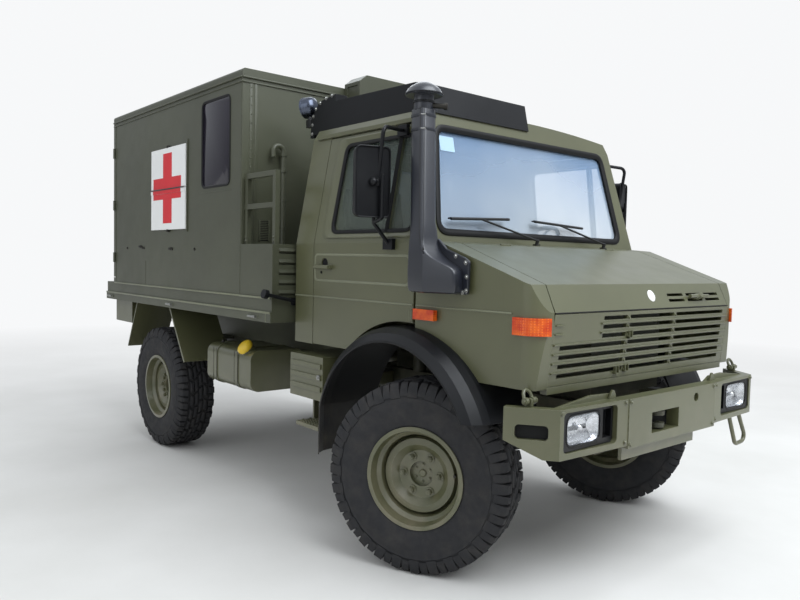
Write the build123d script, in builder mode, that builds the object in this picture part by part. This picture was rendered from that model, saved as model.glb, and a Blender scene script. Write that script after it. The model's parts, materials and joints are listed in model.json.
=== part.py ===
from build123d import *
from math import cos, radians, sin
import os

os.makedirs("parts", exist_ok=True)

# A light four-wheel-drive ambulance truck: cab with a bonnet, and a box body behind it.
# +X is forward, +Y is the vehicle's left, +Z is up, the floor is z = 0. Millimetres.

# Axles and overhangs
WHEELBASE = 3250
TRACK = 1860
FRONT_OVERHANG = 955
REAR_OVERHANG = 1170
FRONT_X = (WHEELBASE + REAR_OVERHANG - FRONT_OVERHANG) / 2
REAR_X = FRONT_X - WHEELBASE
SEAT_GAP = 0.3
CUT_PAST = 60


def ahead(distance):
    """Station x at a distance ahead of the front axle; behind it is negative."""
    return FRONT_X + distance


def stations(outline):
    """Side-view outline whose x values count from the front axle."""
    return [(ahead(x), z) for x, z in outline]


# Tyres and wheels
TYRE_R = 512
LUG_H = 20
TREAD_R = TYRE_R - LUG_H
TYRE_HALF = 162
BEAD_R = 258
LUG_COUNT = 22
LUG_W = 70
LUG_GROOVE = 30
RIM_HALF = 150
FLANGE_R = 272
BARREL_R = 224
DISC_U = 45
CREST_U = 78
CREST_R = 172
NUT_CIRCLE_R = 102.5
HUB_BORE_R = 67
HUB_R = 58
HUB_BACK_U = -74
NUT_COUNT = 6
AXLE_Z = TYRE_R

# Steering: the front wheels stand turned to the left
STEER_DEG = 25
KINGPIN_Y = 850
ARM_BACK = 190
ARM_IN = 120
ROD_R = 16
ROD_Z = 455
EYE_R = 27
ARM_T = 24

# Portal axles
TUBE_Z = AXLE_Z + 110
TUBE_R = 60
DIFF_R = 128
PORTAL_R = 105
PORTAL_T = 112
FORK_HALF = 34
FORK_IN_Y = 640
FORK_T = 40
EAR_Z = (376, 692)
EAR_T = 24
PORTAL_LIFT = 75
KINGPIN_R = 24
KINGPIN_STUBS = [
    (EAR_Z[0] + SEAT_GAP, AXLE_Z - PORTAL_R + 20),
    (EAR_Z[1] - SEAT_GAP, AXLE_Z + PORTAL_LIFT + PORTAL_R - 50),
]
SPRING_Y = 500
SPRING_R = 72
SEAT_Z = 690

# Engine, gearbox and torque tubes
ENGINE_X = (ahead(-300), ahead(590))
GEARBOX_X = (ahead(-1080), ahead(-300))
TORQUE_R = 48

# Chassis frame
RAIL_Y = 400
RAIL_W = 65
RAIL_Z = (780, 930)
RAIL_X = (ahead(780), ahead(-4240))
RAIL_T = 10

# Cab
CAB_REAR = ahead(-1160)
CAB_HALF = 1000
CAB_WALL = 45
SILL_Z = 1111
BELT_Z = 1745
DRIP_Z = 2420
DRIP_HALF = CAB_HALF - 125
ROOF_SIDE_Z = DRIP_Z + 65
ROOF_SIDE_HALF = DRIP_HALF - 40
ROOF_Z = ROOF_SIDE_Z + 40
SCREEN_X = 43
SCREEN_LEAN = 139 / 642
DOOR_GAP = 6
SCREEN_SPLIT = 39
DOOR_REAR = ahead(-958)
DOOR_HINGE_R = 8
DOOR_HINGE_X = ahead(SCREEN_X - SCREEN_SPLIT - DOOR_GAP) - DOOR_HINGE_R
CAB_HINGE_Z = [1360, 1690]

# Front arch: lip outline above the wheel, and how far the flare spreads
ARCH_REAR = (-690, 480)
ARCH_SPRING = (-690, 763)
ARCH_BACK = (-490, 1070)
ARCH_TOP = (-90, 1222)
ARCH_FRONT = (270, 1130)
ARCH_FOOT = (500, 880)
FLARE_RISE = 75
FLARE_OUT_Y = CAB_HALF + 125
LINER_IN_Y = 640
FLARE_T = 12

# Front body
NOSE_X = ahead(809)
NOSE_LOW_X = ahead(775)
CREASE_X = ahead(746)
CREASE_Z = 1551
LIP_Z = 1414
NOSE_Z = 1063
BONNET_HALF = CAB_HALF - 154
BONNET_T = 24
BONNET_REAR = ahead(185)
BONNET_REAR_Z = 1747
CORNER_R = 105
SCUTTLE_Z = 1500
NOSE_HALF = CAB_HALF - 36

# Box body
BOX_HALF = 1150
BOX_FRONT = ahead(-1627)
BOX_REAR = ahead(-4134)
BOX_TOP = 2933
BOX_FLOOR = 1391
BOX_WALL = 55
PLATFORM_HALF = BOX_HALF + 10
PLATFORM_X = (ahead(-4307), ahead(-1209))
PLATFORM_Z = (1227, BOX_FLOOR)
RAIL_LINE_Z = 1298
DOOR_LEAF_T = 40
WINDOW_X = (-2238, -1807)
WINDOW_Z = (BOX_TOP - 771, BOX_TOP - 157)
WINDOW_CORNER_R = 45
CROSS_X = (-3175, -2505)
CROSS_Z = (BOX_TOP - 1074, BOX_TOP - 417)
CROSS_FOLD_Z = BOX_TOP - 748
CROSS_T = 18


def block(x, y, z, mode=Mode.ADD):
    """Box between the low and high ends of each axis."""
    sizes = [abs(pair[1] - pair[0]) for pair in (x, y, z)]
    centre = tuple(sum(pair) / 2 for pair in (x, y, z))
    with Locations(centre):
        Box(*sizes, mode=mode)


def prism(plane, outline, depth, mode=Mode.ADD):
    """Straight-edged outline extruded from a plane."""
    with BuildSketch(plane) as face:
        with BuildLine():
            Polyline(outline, close=True)
        make_face()
    extrude(face.sketch, amount=depth, mode=mode)


def side_prism(outline, y, mode=Mode.ADD):
    """X-Z outline extruded between two values of y."""
    prism(Plane.XZ.offset(-max(y)), outline, abs(y[1] - y[0]), mode)


def cross_prism(outline, x, mode=Mode.ADD):
    """Y-Z outline extruded between two values of x."""
    prism(Plane.YZ.offset(min(x)), outline, abs(x[1] - x[0]), mode)


def rod(start, end, radius, mode=Mode.ADD):
    """Round bar between two points."""
    run = Vector(*end) - Vector(*start)
    with BuildSketch(Plane(origin=start, z_dir=run)) as section:
        Circle(radius)
    extrude(section.sketch, amount=run.length, mode=mode)


def half_width(z):
    """Cab half width at a height: upright to the belt, then leaning in to the drip rail."""
    if z <= BELT_Z:
        return CAB_HALF
    return CAB_HALF - (z - BELT_Z) * (CAB_HALF - DRIP_HALF) / (DRIP_Z - BELT_Z)


def screen_x(z, inset=0):
    """Windscreen plane's x at a height."""
    return ahead(SCREEN_X - (z - BELT_Z) * SCREEN_LEAN) - inset


def cab_section(inset):
    """Cab cross-section, drawn inset from the outer skin, on the Y-Z plane."""
    with BuildSketch(Plane.YZ) as section:
        with BuildLine():
            Polyline(
                (ROOF_SIDE_HALF - inset, ROOF_SIDE_Z - inset),
                (DRIP_HALF - inset, DRIP_Z - inset / 2),
                (CAB_HALF - inset, BELT_Z),
                (CAB_HALF - inset, SILL_Z),
                (-CAB_HALF + inset, SILL_Z),
                (-CAB_HALF + inset, BELT_Z),
                (-DRIP_HALF + inset, DRIP_Z - inset / 2),
                (-ROOF_SIDE_HALF + inset, ROOF_SIDE_Z - inset),
            )
            ThreePointArc(
                (-ROOF_SIDE_HALF + inset, ROOF_SIDE_Z - inset),
                (0, ROOF_Z - inset),
                (ROOF_SIDE_HALF - inset, ROOF_SIDE_Z - inset),
            )
        make_face()
    return section.sketch


def cab_solid(inset, rear):
    """Filled cab, inset from its outer skin, cut off at the windscreen's slope."""
    with BuildPart() as cab:
        extrude(cab_section(inset).moved(Location((rear, 0, 0))), amount=ahead(SCREEN_X) - inset - rear)
        slope = [
            (screen_x(BELT_Z, inset), BELT_Z),
            (screen_x(ROOF_Z + 100, inset), ROOF_Z + 100),
            (ahead(400), ROOF_Z + 100),
            (ahead(400), BELT_Z),
        ]
        side_prism(slope, (-CAB_HALF - CUT_PAST, CAB_HALF + CUT_PAST), Mode.SUBTRACT)
    return cab.part


def arch_face(rise, floor_z):
    """Side outline of the front wheel's arch, raised above the flare's lip."""
    with BuildSketch(Plane.XZ) as arch:
        with BuildLine():
            rear_x = ahead(ARCH_REAR[0]) - rise
            front_x = ahead(ARCH_FOOT[0]) + rise
            top = (ahead(ARCH_TOP[0]), ARCH_TOP[1] + rise)
            Line((rear_x, floor_z), (rear_x, ARCH_SPRING[1]))
            ThreePointArc(
                (rear_x, ARCH_SPRING[1]),
                (ahead(ARCH_BACK[0]) - 0.7 * rise, ARCH_BACK[1] + 0.7 * rise),
                top,
            )
            ThreePointArc(
                top,
                (ahead(ARCH_FRONT[0]) + 0.6 * rise, ARCH_FRONT[1] + 0.8 * rise),
                (front_x, ARCH_FOOT[1]),
            )
            Line((front_x, ARCH_FOOT[1]), (front_x, floor_z))
            Line((front_x, floor_z), (rear_x, floor_z))
        make_face()
    return arch.sketch


def arch_plug(rise, floor_z, y):
    """Solid filling the arch between two values of y."""
    with BuildPart() as plug:
        extrude(arch_face(rise, floor_z).moved(Location((0, max(y), 0))), amount=abs(y[1] - y[0]))
    return plug.part


ARCH_REACH = (-CAB_HALF - 300, CAB_HALF + 300)
arch_cut = arch_plug(FLARE_RISE + SEAT_GAP, 300, ARCH_REACH)


def front_wheel_centre(side):
    """Centre of a front wheel, swung about its kingpin."""
    reach = side * (TRACK / 2 - KINGPIN_Y)
    turn = radians(STEER_DEG)
    return Vector(FRONT_X - reach * sin(turn), side * KINGPIN_Y + reach * cos(turn), AXLE_Z)


def outward(side, steer):
    """Unit vector along the wheel's axle, pointing away from the vehicle."""
    turn = radians(steer)
    return Vector(-side * sin(turn), side * cos(turn), 0)


# Wheel stations: name, centre, side (+1 left, -1 right), steering angle
WHEELS = [
    ("front_right", front_wheel_centre(-1), -1, STEER_DEG),
    ("front_left", front_wheel_centre(1), 1, STEER_DEG),
    ("rear_right", Vector(REAR_X, -TRACK / 2, AXLE_Z), -1, 0),
    ("rear_left", Vector(REAR_X, TRACK / 2, AXLE_Z), 1, 0),
]

# Tyre carcass, one side: distance along the axle, radius
CARCASS_SIDE = [(138, BEAD_R + 5), (TYRE_HALF, 385), (138, TREAD_R)]

# Lug section on the shoulder: distance along the axle, radius
LUG_SECTION = [
    (153.5, 440), (134, TYRE_R), (LUG_GROOVE, TYRE_R),
    (LUG_GROOVE, TREAD_R - 12), (120, TREAD_R - 12), (140, 440),
]

# Wheel section: distance along the axle, radius. Barrel, both flanges, bulged disc and hub
WHEEL_SECTION = [
    (-RIM_HALF, FLANGE_R), (-RIM_HALF + 9, FLANGE_R), (-RIM_HALF + 11, BEAD_R), (-100, BEAD_R - 6),
    (-80, BARREL_R + 8), (70, BARREL_R + 8), (95, BEAD_R - 6), (RIM_HALF - 11, BEAD_R),
    (RIM_HALF - 9, FLANGE_R), (RIM_HALF, FLANGE_R), (RIM_HALF + 2, BEAD_R - 8), (100, BEAD_R - 18),
    (82, BARREL_R - 4), (28, BARREL_R - 12), (CREST_U - 4, CREST_R + 26), (CREST_U, CREST_R - 8),
    (DISC_U, 128), (DISC_U, HUB_BORE_R), (DISC_U - 26, HUB_BORE_R), (DISC_U - 26, 0),
    (HUB_BACK_U, 0), (HUB_BACK_U, HUB_R), (DISC_U - 46, HUB_R), (DISC_U - 46, 128), (CREST_U - 34, CREST_R),
    (4, BARREL_R - 22), (-6, BARREL_R - 4), (-78, BARREL_R - 4), (-102, BEAD_R - 18), (-RIM_HALF, BEAD_R - 8),
]


def turned(section, centre, axle):
    """Closed section of a wheel or tyre, turned about its axle."""
    plane = Plane(origin=centre, x_dir=axle, z_dir=axle.cross(Vector(0, 0, 1)))
    with BuildSketch(plane) as face:
        with BuildLine():
            Polyline(section, close=True)
        make_face()
    revolve(face.sketch, axis=Axis(centre, axle))


# Tyre about its own axle, +Z here: flat-sided carcass, then two staggered rows of lugs
flats = 180 / LUG_COUNT
with BuildPart() as tread:
    for u, radius in CARCASS_SIDE + [(-u, radius) for u, radius in reversed(CARCASS_SIDE)]:
        with BuildSketch(Plane.XY.offset(u)):
            RegularPolygon(radius, LUG_COUNT, major_radius=False, rotation=flats)
    loft(ruled=True)
    with BuildSketch(Plane.XY.offset(-TYRE_HALF)) as bead_bore:
        RegularPolygon(BEAD_R + 4, LUG_COUNT, major_radius=False, rotation=flats)
    extrude(bead_bore.sketch, amount=2 * TYRE_HALF, mode=Mode.SUBTRACT)
    for row in (-1, 1):
        with BuildPart(mode=Mode.PRIVATE) as lug:
            with BuildSketch(Plane.XZ.offset(-LUG_W / 2)) as face:
                with BuildLine():
                    Polyline([(radius, row * u) for u, radius in LUG_SECTION], close=True)
                make_face()
            extrude(face.sketch, amount=LUG_W)
        turn = flats if row > 0 else 0
        with PolarLocations(0, LUG_COUNT, start_angle=turn):
            add(lug.part)

for name, centre, side, steer in WHEELS:
    axle = outward(side, steer)
    with BuildPart() as tyre:
        add(tread.part.moved(Plane(origin=centre, x_dir=(0, 0, 1), z_dir=axle).location))
    tyre.part.label = f"tyre_{name}"
    export_step(tyre.part, f"parts/tyre_{name}.step")

    with BuildPart() as wheel:
        turned(WHEEL_SECTION, centre, axle)
        with Locations(Plane(origin=centre + axle * DISC_U, z_dir=axle)):
            with PolarLocations(NUT_CIRCLE_R, NUT_COUNT):
                Cylinder(14, 20, align=(Align.CENTER, Align.CENTER, Align.MIN))
    wheel.part.label = f"wheel_{name}"
    export_step(wheel.part, f"parts/wheel_{name}.step")


def arm_end(side):
    """Eye of a steering arm in plan."""
    turn = radians(STEER_DEG)
    x, y = -ARM_BACK, -side * ARM_IN
    return (FRONT_X + x * cos(turn) - y * sin(turn), side * KINGPIN_Y + x * sin(turn) + y * cos(turn))


for name, centre, side, steer in WHEELS[:2]:
    axle = outward(side, steer)
    back = centre + axle * (HUB_BACK_U - SEAT_GAP)
    portal_plane = Plane(origin=back, x_dir=Vector(0, 0, 1), z_dir=-axle)
    eye = arm_end(side)
    with BuildPart() as knuckle:
        with BuildSketch(portal_plane):
            Circle(PORTAL_R)
            with Locations((PORTAL_LIFT, 0)):
                Circle(PORTAL_R - 30)
            make_hull()
        extrude(amount=PORTAL_T)
        for pin_end, housing_end in KINGPIN_STUBS:
            rod((FRONT_X, side * KINGPIN_Y, pin_end), (FRONT_X, side * KINGPIN_Y, housing_end), KINGPIN_R)
        start = centre - axle * 130
        run = Vector(eye[0] - start.X, eye[1] - start.Y, 0)
        arm_origin = (start.X, start.Y, ROD_Z + ROD_R + 6)
        with BuildSketch(Plane(origin=arm_origin, x_dir=run, z_dir=(0, 0, 1))):
            with Locations((run.length / 2, 0)):
                Rectangle(run.length, 44)
            with Locations((run.length, 0)):
                Circle(EYE_R)
        extrude(amount=ARM_T)
    label = name.replace("front", "knuckle")
    knuckle.part.label = label
    export_step(knuckle.part, f"parts/{label}.step")

# Track rod, under the two steering arms
right_eye = arm_end(-1)
left_eye = arm_end(1)
with BuildPart() as tie_rod:
    rod((*right_eye, ROD_Z), (*left_eye, ROD_Z), ROD_R)
    for eye in (right_eye, left_eye):
        rod((*eye, ROD_Z - 20), (*eye, ROD_Z + ROD_R + 6 - SEAT_GAP), EYE_R)
tie_rod.part.label = "tie_rod"
export_step(tie_rod.part, "parts/tie_rod.step")

# Axles: tube, differential housing, spring seats, torque tube to the gearbox
with BuildPart() as front_axle:
    rod((FRONT_X, -FORK_IN_Y, TUBE_Z), (FRONT_X, FORK_IN_Y, TUBE_Z), TUBE_R)
    with Locations((FRONT_X, 0, TUBE_Z)):
        Sphere(DIFF_R)
    rod((FRONT_X, 0, TUBE_Z), (GEARBOX_X[1] + 22, 0, TUBE_Z + 130), TORQUE_R)
    for side in (-1, 1):
        block((ahead(-85), ahead(85)), (side * (SPRING_Y - 85), side * (SPRING_Y + 85)), (TUBE_Z, SEAT_Z))
        inner = side * FORK_IN_Y
        fork_x = (ahead(-FORK_HALF), ahead(FORK_HALF))
        block(fork_x, (inner, inner + side * FORK_T), (EAR_Z[0] - EAR_T, EAR_Z[1] + EAR_T - 8))
        for low, high in ((EAR_Z[0] - EAR_T, EAR_Z[0]), (EAR_Z[1], EAR_Z[1] + EAR_T - 8)):
            block((ahead(-FORK_HALF), ahead(FORK_HALF)), (inner, side * KINGPIN_Y), (low, high))
            rod((FRONT_X, side * KINGPIN_Y, low), (FRONT_X, side * KINGPIN_Y, high), FORK_HALF)
front_axle.part.label = "front_axle"
export_step(front_axle.part, "parts/front_axle.step")

hub_face_y = TRACK / 2 + HUB_BACK_U - SEAT_GAP
with BuildPart() as rear_axle:
    rod((REAR_X, -hub_face_y + PORTAL_T, TUBE_Z), (REAR_X, hub_face_y - PORTAL_T, TUBE_Z), TUBE_R)
    with Locations((REAR_X, 0, TUBE_Z)):
        Sphere(DIFF_R + 12)
    rod((REAR_X, 0, TUBE_Z), (GEARBOX_X[0] - 4, 0, TUBE_Z + 130), TORQUE_R)
    for side in (-1, 1):
        block((REAR_X - 85, REAR_X + 85), (side * (SPRING_Y - 85), side * (SPRING_Y + 85)), (TUBE_Z, SEAT_Z))
        portal = Plane(origin=(REAR_X, side * hub_face_y, AXLE_Z), x_dir=(0, 0, 1), z_dir=(0, -side, 0))
        with BuildSketch(portal):
            Circle(PORTAL_R)
            with Locations((PORTAL_LIFT, 0)):
                Circle(PORTAL_R - 30)
            make_hull()
        extrude(amount=PORTAL_T)
rear_axle.part.label = "rear_axle"
export_step(rear_axle.part, "parts/rear_axle.step")

# Chassis frame: two channel rails
with BuildPart() as frame_rails:
    for side in (-1, 1):
        web = side * RAIL_Y
        inner = web - side * RAIL_W
        block(RAIL_X, (web, inner), RAIL_Z)
        block(RAIL_X, (web - side * RAIL_T, inner), (RAIL_Z[0] + RAIL_T, RAIL_Z[1] - RAIL_T), Mode.SUBTRACT)
        for x in (FRONT_X, REAR_X):
            block((x - 95, x + 95), (web, web + side * 190), (RAIL_Z[1] - 25, RAIL_Z[1]))
frame_rails.part.label = "frame_rails"
export_step(frame_rails.part, "parts/frame_rails.step")

# Cross tubes between the rails, cab mounts, and the towing jaws' cross beams
CROSS_TUBES = [-1260, -1750, -2600, -3700]
REAR_BEAM_X = (ahead(-4240), ahead(-4180))
FRONT_BEAM_X = (ahead(730), ahead(780))
HITCH_X = (ahead(-WHEELBASE - REAR_OVERHANG), ahead(-4240))
HITCH_Z = 850
HITCH_PIN_R = 17
with BuildPart() as frame_crossmembers:
    inner = RAIL_Y - RAIL_T
    for x in CROSS_TUBES:
        rod((ahead(x), -inner, 850), (ahead(x), inner, 850), 45)
    web_face = RAIL_Y - RAIL_W
    block(REAR_BEAM_X, (-web_face, web_face), RAIL_Z)
    block(FRONT_BEAM_X, (-web_face, web_face), RAIL_Z)
    for x in (-1080, -640):
        for side in (-1, 1):
            rod((ahead(x), side * 365, RAIL_Z[1]), (ahead(x), side * 365, SILL_Z), 45)
frame_crossmembers.part.label = "frame_crossmembers"
export_step(frame_crossmembers.part, "parts/frame_crossmembers.step")

# Coil springs, as the sleeves they fill
with BuildPart() as springs:
    for x in (FRONT_X, REAR_X):
        for side in (-1, 1):
            rod((x, side * SPRING_Y, SEAT_Z), (x, side * SPRING_Y, RAIL_Z[1] - 25), SPRING_R)
            middle = (x, side * SPRING_Y)
            rod((*middle, SEAT_Z), (*middle, RAIL_Z[1] - 25), SPRING_R - 18, Mode.SUBTRACT)
springs.part.label = "springs"
export_step(springs.part, "parts/springs.step")

# Engine and gearbox in one block, with the radiator behind the grille
with BuildPart() as powertrain:
    block(ENGINE_X, (-250, 250), (850, 1290))
    block(GEARBOX_X, (-190, 190), (700, 1010))
    block((ENGINE_X[1], ENGINE_X[1] + 65), (-330, 330), (950, 1400))
powertrain.part.label = "powertrain"
export_step(powertrain.part, "parts/powertrain.step")

# Fuel tank on the right, its corners rounded, with two bands, its brackets and its filler neck
TANK_X = (ahead(-2315), ahead(-1640))
TANK_Y = (-1060, -620)
TANK_Z = (697, 990)
TANK_R = 70
BAND_X = [-2176, -1847]
BAND_T = 5
FILLER = (ahead(-1760), -985, 955)
FILLER_REACH = 60
with BuildPart() as fuel_tank:
    block(TANK_X, TANK_Y, TANK_Z)
    fillet(fuel_tank.edges().filter_by(Axis.X), TANK_R)
    for x in BAND_X:
        with BuildPart(mode=Mode.PRIVATE) as band:
            band_y = (TANK_Y[0] - BAND_T, TANK_Y[1] + BAND_T)
            block((ahead(x) - 25, ahead(x) + 25), band_y, (TANK_Z[0] - BAND_T, TANK_Z[1] + BAND_T))
            fillet(band.edges().filter_by(Axis.X), TANK_R + BAND_T)
        add(band.part)
        block((ahead(x) - 22, ahead(x) + 22), (TANK_Y[1], -RAIL_Y), (820, 900))
    rod(FILLER, (FILLER[0], FILLER[1] - FILLER_REACH, FILLER[2] + FILLER_REACH), 52)
fuel_tank.part.label = "fuel_tank"
export_step(fuel_tank.part, "parts/fuel_tank.step")

# Side boxes: ribbed battery box on the right, long tool box on the left,
# and the two small boxes that hang below the platform behind the rear flaps
BATTERY_X = (ahead(-1140), ahead(-772))
with BuildPart() as side_boxes:
    for side, x_pair in ((-1, BATTERY_X), (1, (ahead(-2300), ahead(-1400)))):
        block(x_pair, (side * 600, side * 1045), (773, 1044))
        for z in (830, 900, 970):
            block((x_pair[0] + 15, x_pair[1] - 15), (side * 1045, side * 1055), (z, z + 30))
        middle = sum(x_pair) / 2
        block((middle - 90, middle + 90), (side * RAIL_Y, side * 600), (820, 900))
        block((ahead(-4265), ahead(-3850)), (side * 700, side * 1080), (1018, PLATFORM_Z[0]))
side_boxes.part.label = "side_boxes"
export_step(side_boxes.part, "parts/side_boxes.step")

# Cab steps on hangers from the side boxes and the floor
with BuildPart() as cab_steps:
    for side in (-1, 1):
        block((ahead(-1040), ahead(-790)), (side * 840, side * 1060), (590, 615))
        for x in (-1030, -815):
            block((ahead(x), ahead(x) + 14), (side * 900, side * 940), (615, 773 if side < 0 else SILL_Z))
cab_steps.part.label = "cab_steps"
export_step(cab_steps.part, "parts/cab_steps.step")

# Front wings: liner inside the arch, and a flare that swells out beyond the body's side.
# Flare sections: distance out from the body's side, rise above the lip
FLARE_SECTIONS = [(0, FLARE_RISE), (50, FLARE_RISE - 8), (98, FLARE_RISE - 36), (FLARE_OUT_Y - CAB_HALF, 0)]
LINER_Z = 480
with BuildPart() as front_wings:
    for side in (-1, 1):
        y_body = side * CAB_HALF
        add(arch_plug(FLARE_RISE, LINER_Z, (side * LINER_IN_Y, y_body)))
        add(
            arch_plug(FLARE_RISE - FLARE_T, LINER_Z - CUT_PAST, (side * (LINER_IN_Y - 10), y_body + side)),
            mode=Mode.SUBTRACT,
        )
        for inset, floor_z, mode in ((0, LINER_Z, Mode.ADD), (FLARE_T, LINER_Z - CUT_PAST, Mode.SUBTRACT)):
            bands = [
                arch_face(rise - inset, floor_z).moved(Location((0, y_body + side * out, 0))).face()
                for out, rise in FLARE_SECTIONS
            ]
            loft(bands, ruled=True, mode=mode)
        foot_y = (side * 500, side * (FLARE_OUT_Y + CUT_PAST))
        block((ahead(300), ahead(900)), foot_y, (300, ARCH_FOOT[1]), Mode.SUBTRACT)
front_wings.part.label = "front_wings"
export_step(front_wings.part, "parts/front_wings.step")

# Cab panels, cut from one hollow shell
cab_outer = cab_solid(0, CAB_REAR)
cab_inner = cab_solid(CAB_WALL, CAB_REAR + CAB_WALL)
with BuildPart() as cab_shell:
    add(cab_outer)
    add(cab_inner, mode=Mode.SUBTRACT)
    inner = CAB_HALF - CAB_WALL
    inner_z = (SILL_Z - 10, SILL_Z + CAB_WALL)
    block((CAB_REAR - 10, ahead(SCREEN_X + 10)), (-inner, inner), inner_z, Mode.SUBTRACT)
ROOF_SPLIT_Z = DRIP_Z - 8
DRIP_W = 16
CAB_REACH = (-CAB_HALF - CUT_PAST, CAB_HALF + CUT_PAST)


def screen_region(rear_inset, top):
    """Side outline ahead of a line parallel to the windscreen."""
    return [
        (ahead(SCREEN_X - rear_inset), 1000), (ahead(SCREEN_X - rear_inset), BELT_Z),
        (screen_x(top, rear_inset), top),
        (ahead(300), top), (ahead(300), 1000),
    ]


with BuildPart() as cab_roof:
    add(cab_shell.part)
    block((CAB_REAR - CUT_PAST, ahead(300)), CAB_REACH, (ROOF_SPLIT_Z, ROOF_Z + CUT_PAST), Mode.INTERSECT)
    for side in (-1, 1):
        drip = (side * DRIP_HALF, side * (DRIP_HALF + DRIP_W))
        block((CAB_REAR + 60, screen_x(DRIP_Z) - 30), drip, (DRIP_Z - 6, DRIP_Z + DRIP_W + 2))
cab_roof.part.label = "cab_roof"
export_step(cab_roof.part, "parts/cab_roof.step")

REAR_GLASS_HALF = 420
REAR_GLASS_Z = (BELT_Z + 85, DRIP_Z - 130)
with BuildPart() as cab_back:
    add(cab_shell.part)
    block((CAB_REAR - CUT_PAST, DOOR_REAR), CAB_REACH, (SILL_Z, ROOF_SPLIT_Z), Mode.INTERSECT)
    glass_y = (-REAR_GLASS_HALF, REAR_GLASS_HALF)
    block((CAB_REAR - 50, CAB_REAR + CAB_WALL + 1), glass_y, REAR_GLASS_Z, Mode.SUBTRACT)
cab_back.part.label = "cab_back"
export_step(cab_back.part, "parts/cab_back.step")

# Windscreen opening: half widths and heights of its corners
SCREEN_LOW = (CAB_HALF - 150, BELT_Z + 70)
SCREEN_HIGH = (DRIP_HALF - 105, DRIP_Z - 35)
SCREEN_CORNER_R = 60
screen_outline = [
    (-SCREEN_LOW[0], SCREEN_LOW[1]), (SCREEN_LOW[0], SCREEN_LOW[1]),
    (SCREEN_HIGH[0], SCREEN_HIGH[1]), (-SCREEN_HIGH[0], SCREEN_HIGH[1]),
]
with BuildPart() as screen_hole:
    with BuildSketch(Plane.YZ.offset(ahead(-300))) as screen_shape:
        with BuildLine():
            Polyline(screen_outline, close=True)
        make_face()
        fillet(screen_shape.vertices(), SCREEN_CORNER_R)
    extrude(amount=500)
screen_plug = screen_hole.part
with BuildPart() as screen_frame:
    add(cab_shell.part)
    side_prism(screen_region(SCREEN_SPLIT, ROOF_SPLIT_Z), CAB_REACH, Mode.INTERSECT)
    block((ahead(-300), ahead(300)), CAB_REACH, (BELT_Z, ROOF_SPLIT_Z), Mode.INTERSECT)
    add(screen_plug, mode=Mode.SUBTRACT)
screen_frame.part.label = "screen_frame"
export_step(screen_frame.part, "parts/screen_frame.step")

# Floor, raised toe board over the wheels, and bulkhead, bent from one sheet
FLOOR_T = 40
floor_outline = stations([
    (-1115, SILL_Z), (-640, SILL_Z), (-520, 1310), (0, 1310), (0, BELT_Z),
    (-FLOOR_T, BELT_Z), (-FLOOR_T, 1310 + FLOOR_T), (-545, 1310 + FLOOR_T),
    (-665, SILL_Z + FLOOR_T), (-1115, SILL_Z + FLOOR_T),
])
with BuildPart() as cab_floor:
    side_prism(floor_outline, (-CAB_HALF + CAB_WALL + DOOR_GAP, CAB_HALF - CAB_WALL - DOOR_GAP))
cab_floor.part.label = "cab_floor"
export_step(cab_floor.part, "parts/cab_floor.step")

# Doors, their glass and mirrors
GLASS_X = (-785, -36)
GLASS_Z = (BELT_Z + 67, DRIP_Z - 75)
GLASS_CORNER_R = 55
GLASS_T = 6
DIVIDER_X = (-264, -244)
HANDLE_X = (-905, -765)
HANDLE_Z = 1599
HANDLE_POCKET_R = 34


def window_face():
    """Side outline of a door's window, its front edge leaning with the windscreen."""
    with BuildSketch(Plane.XZ) as window:
        with BuildLine():
            lean = (GLASS_Z[1] - GLASS_Z[0]) * SCREEN_LEAN
            Polyline(
                stations([
                    (GLASS_X[0], GLASS_Z[0]), (GLASS_X[1], GLASS_Z[0]),
                    (GLASS_X[1] - lean, GLASS_Z[1]), (GLASS_X[0] + 12, GLASS_Z[1]),
                ]),
                close=True,
            )
        make_face()
        fillet(window.vertices(), GLASS_CORNER_R)
    return window.sketch


def window_plug(y):
    """Door window's outline, extruded between two values of y."""
    with BuildPart() as plug:
        extrude(window_face().moved(Location((0, max(y), 0))), amount=abs(y[1] - y[0]))
    return plug.part


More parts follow.
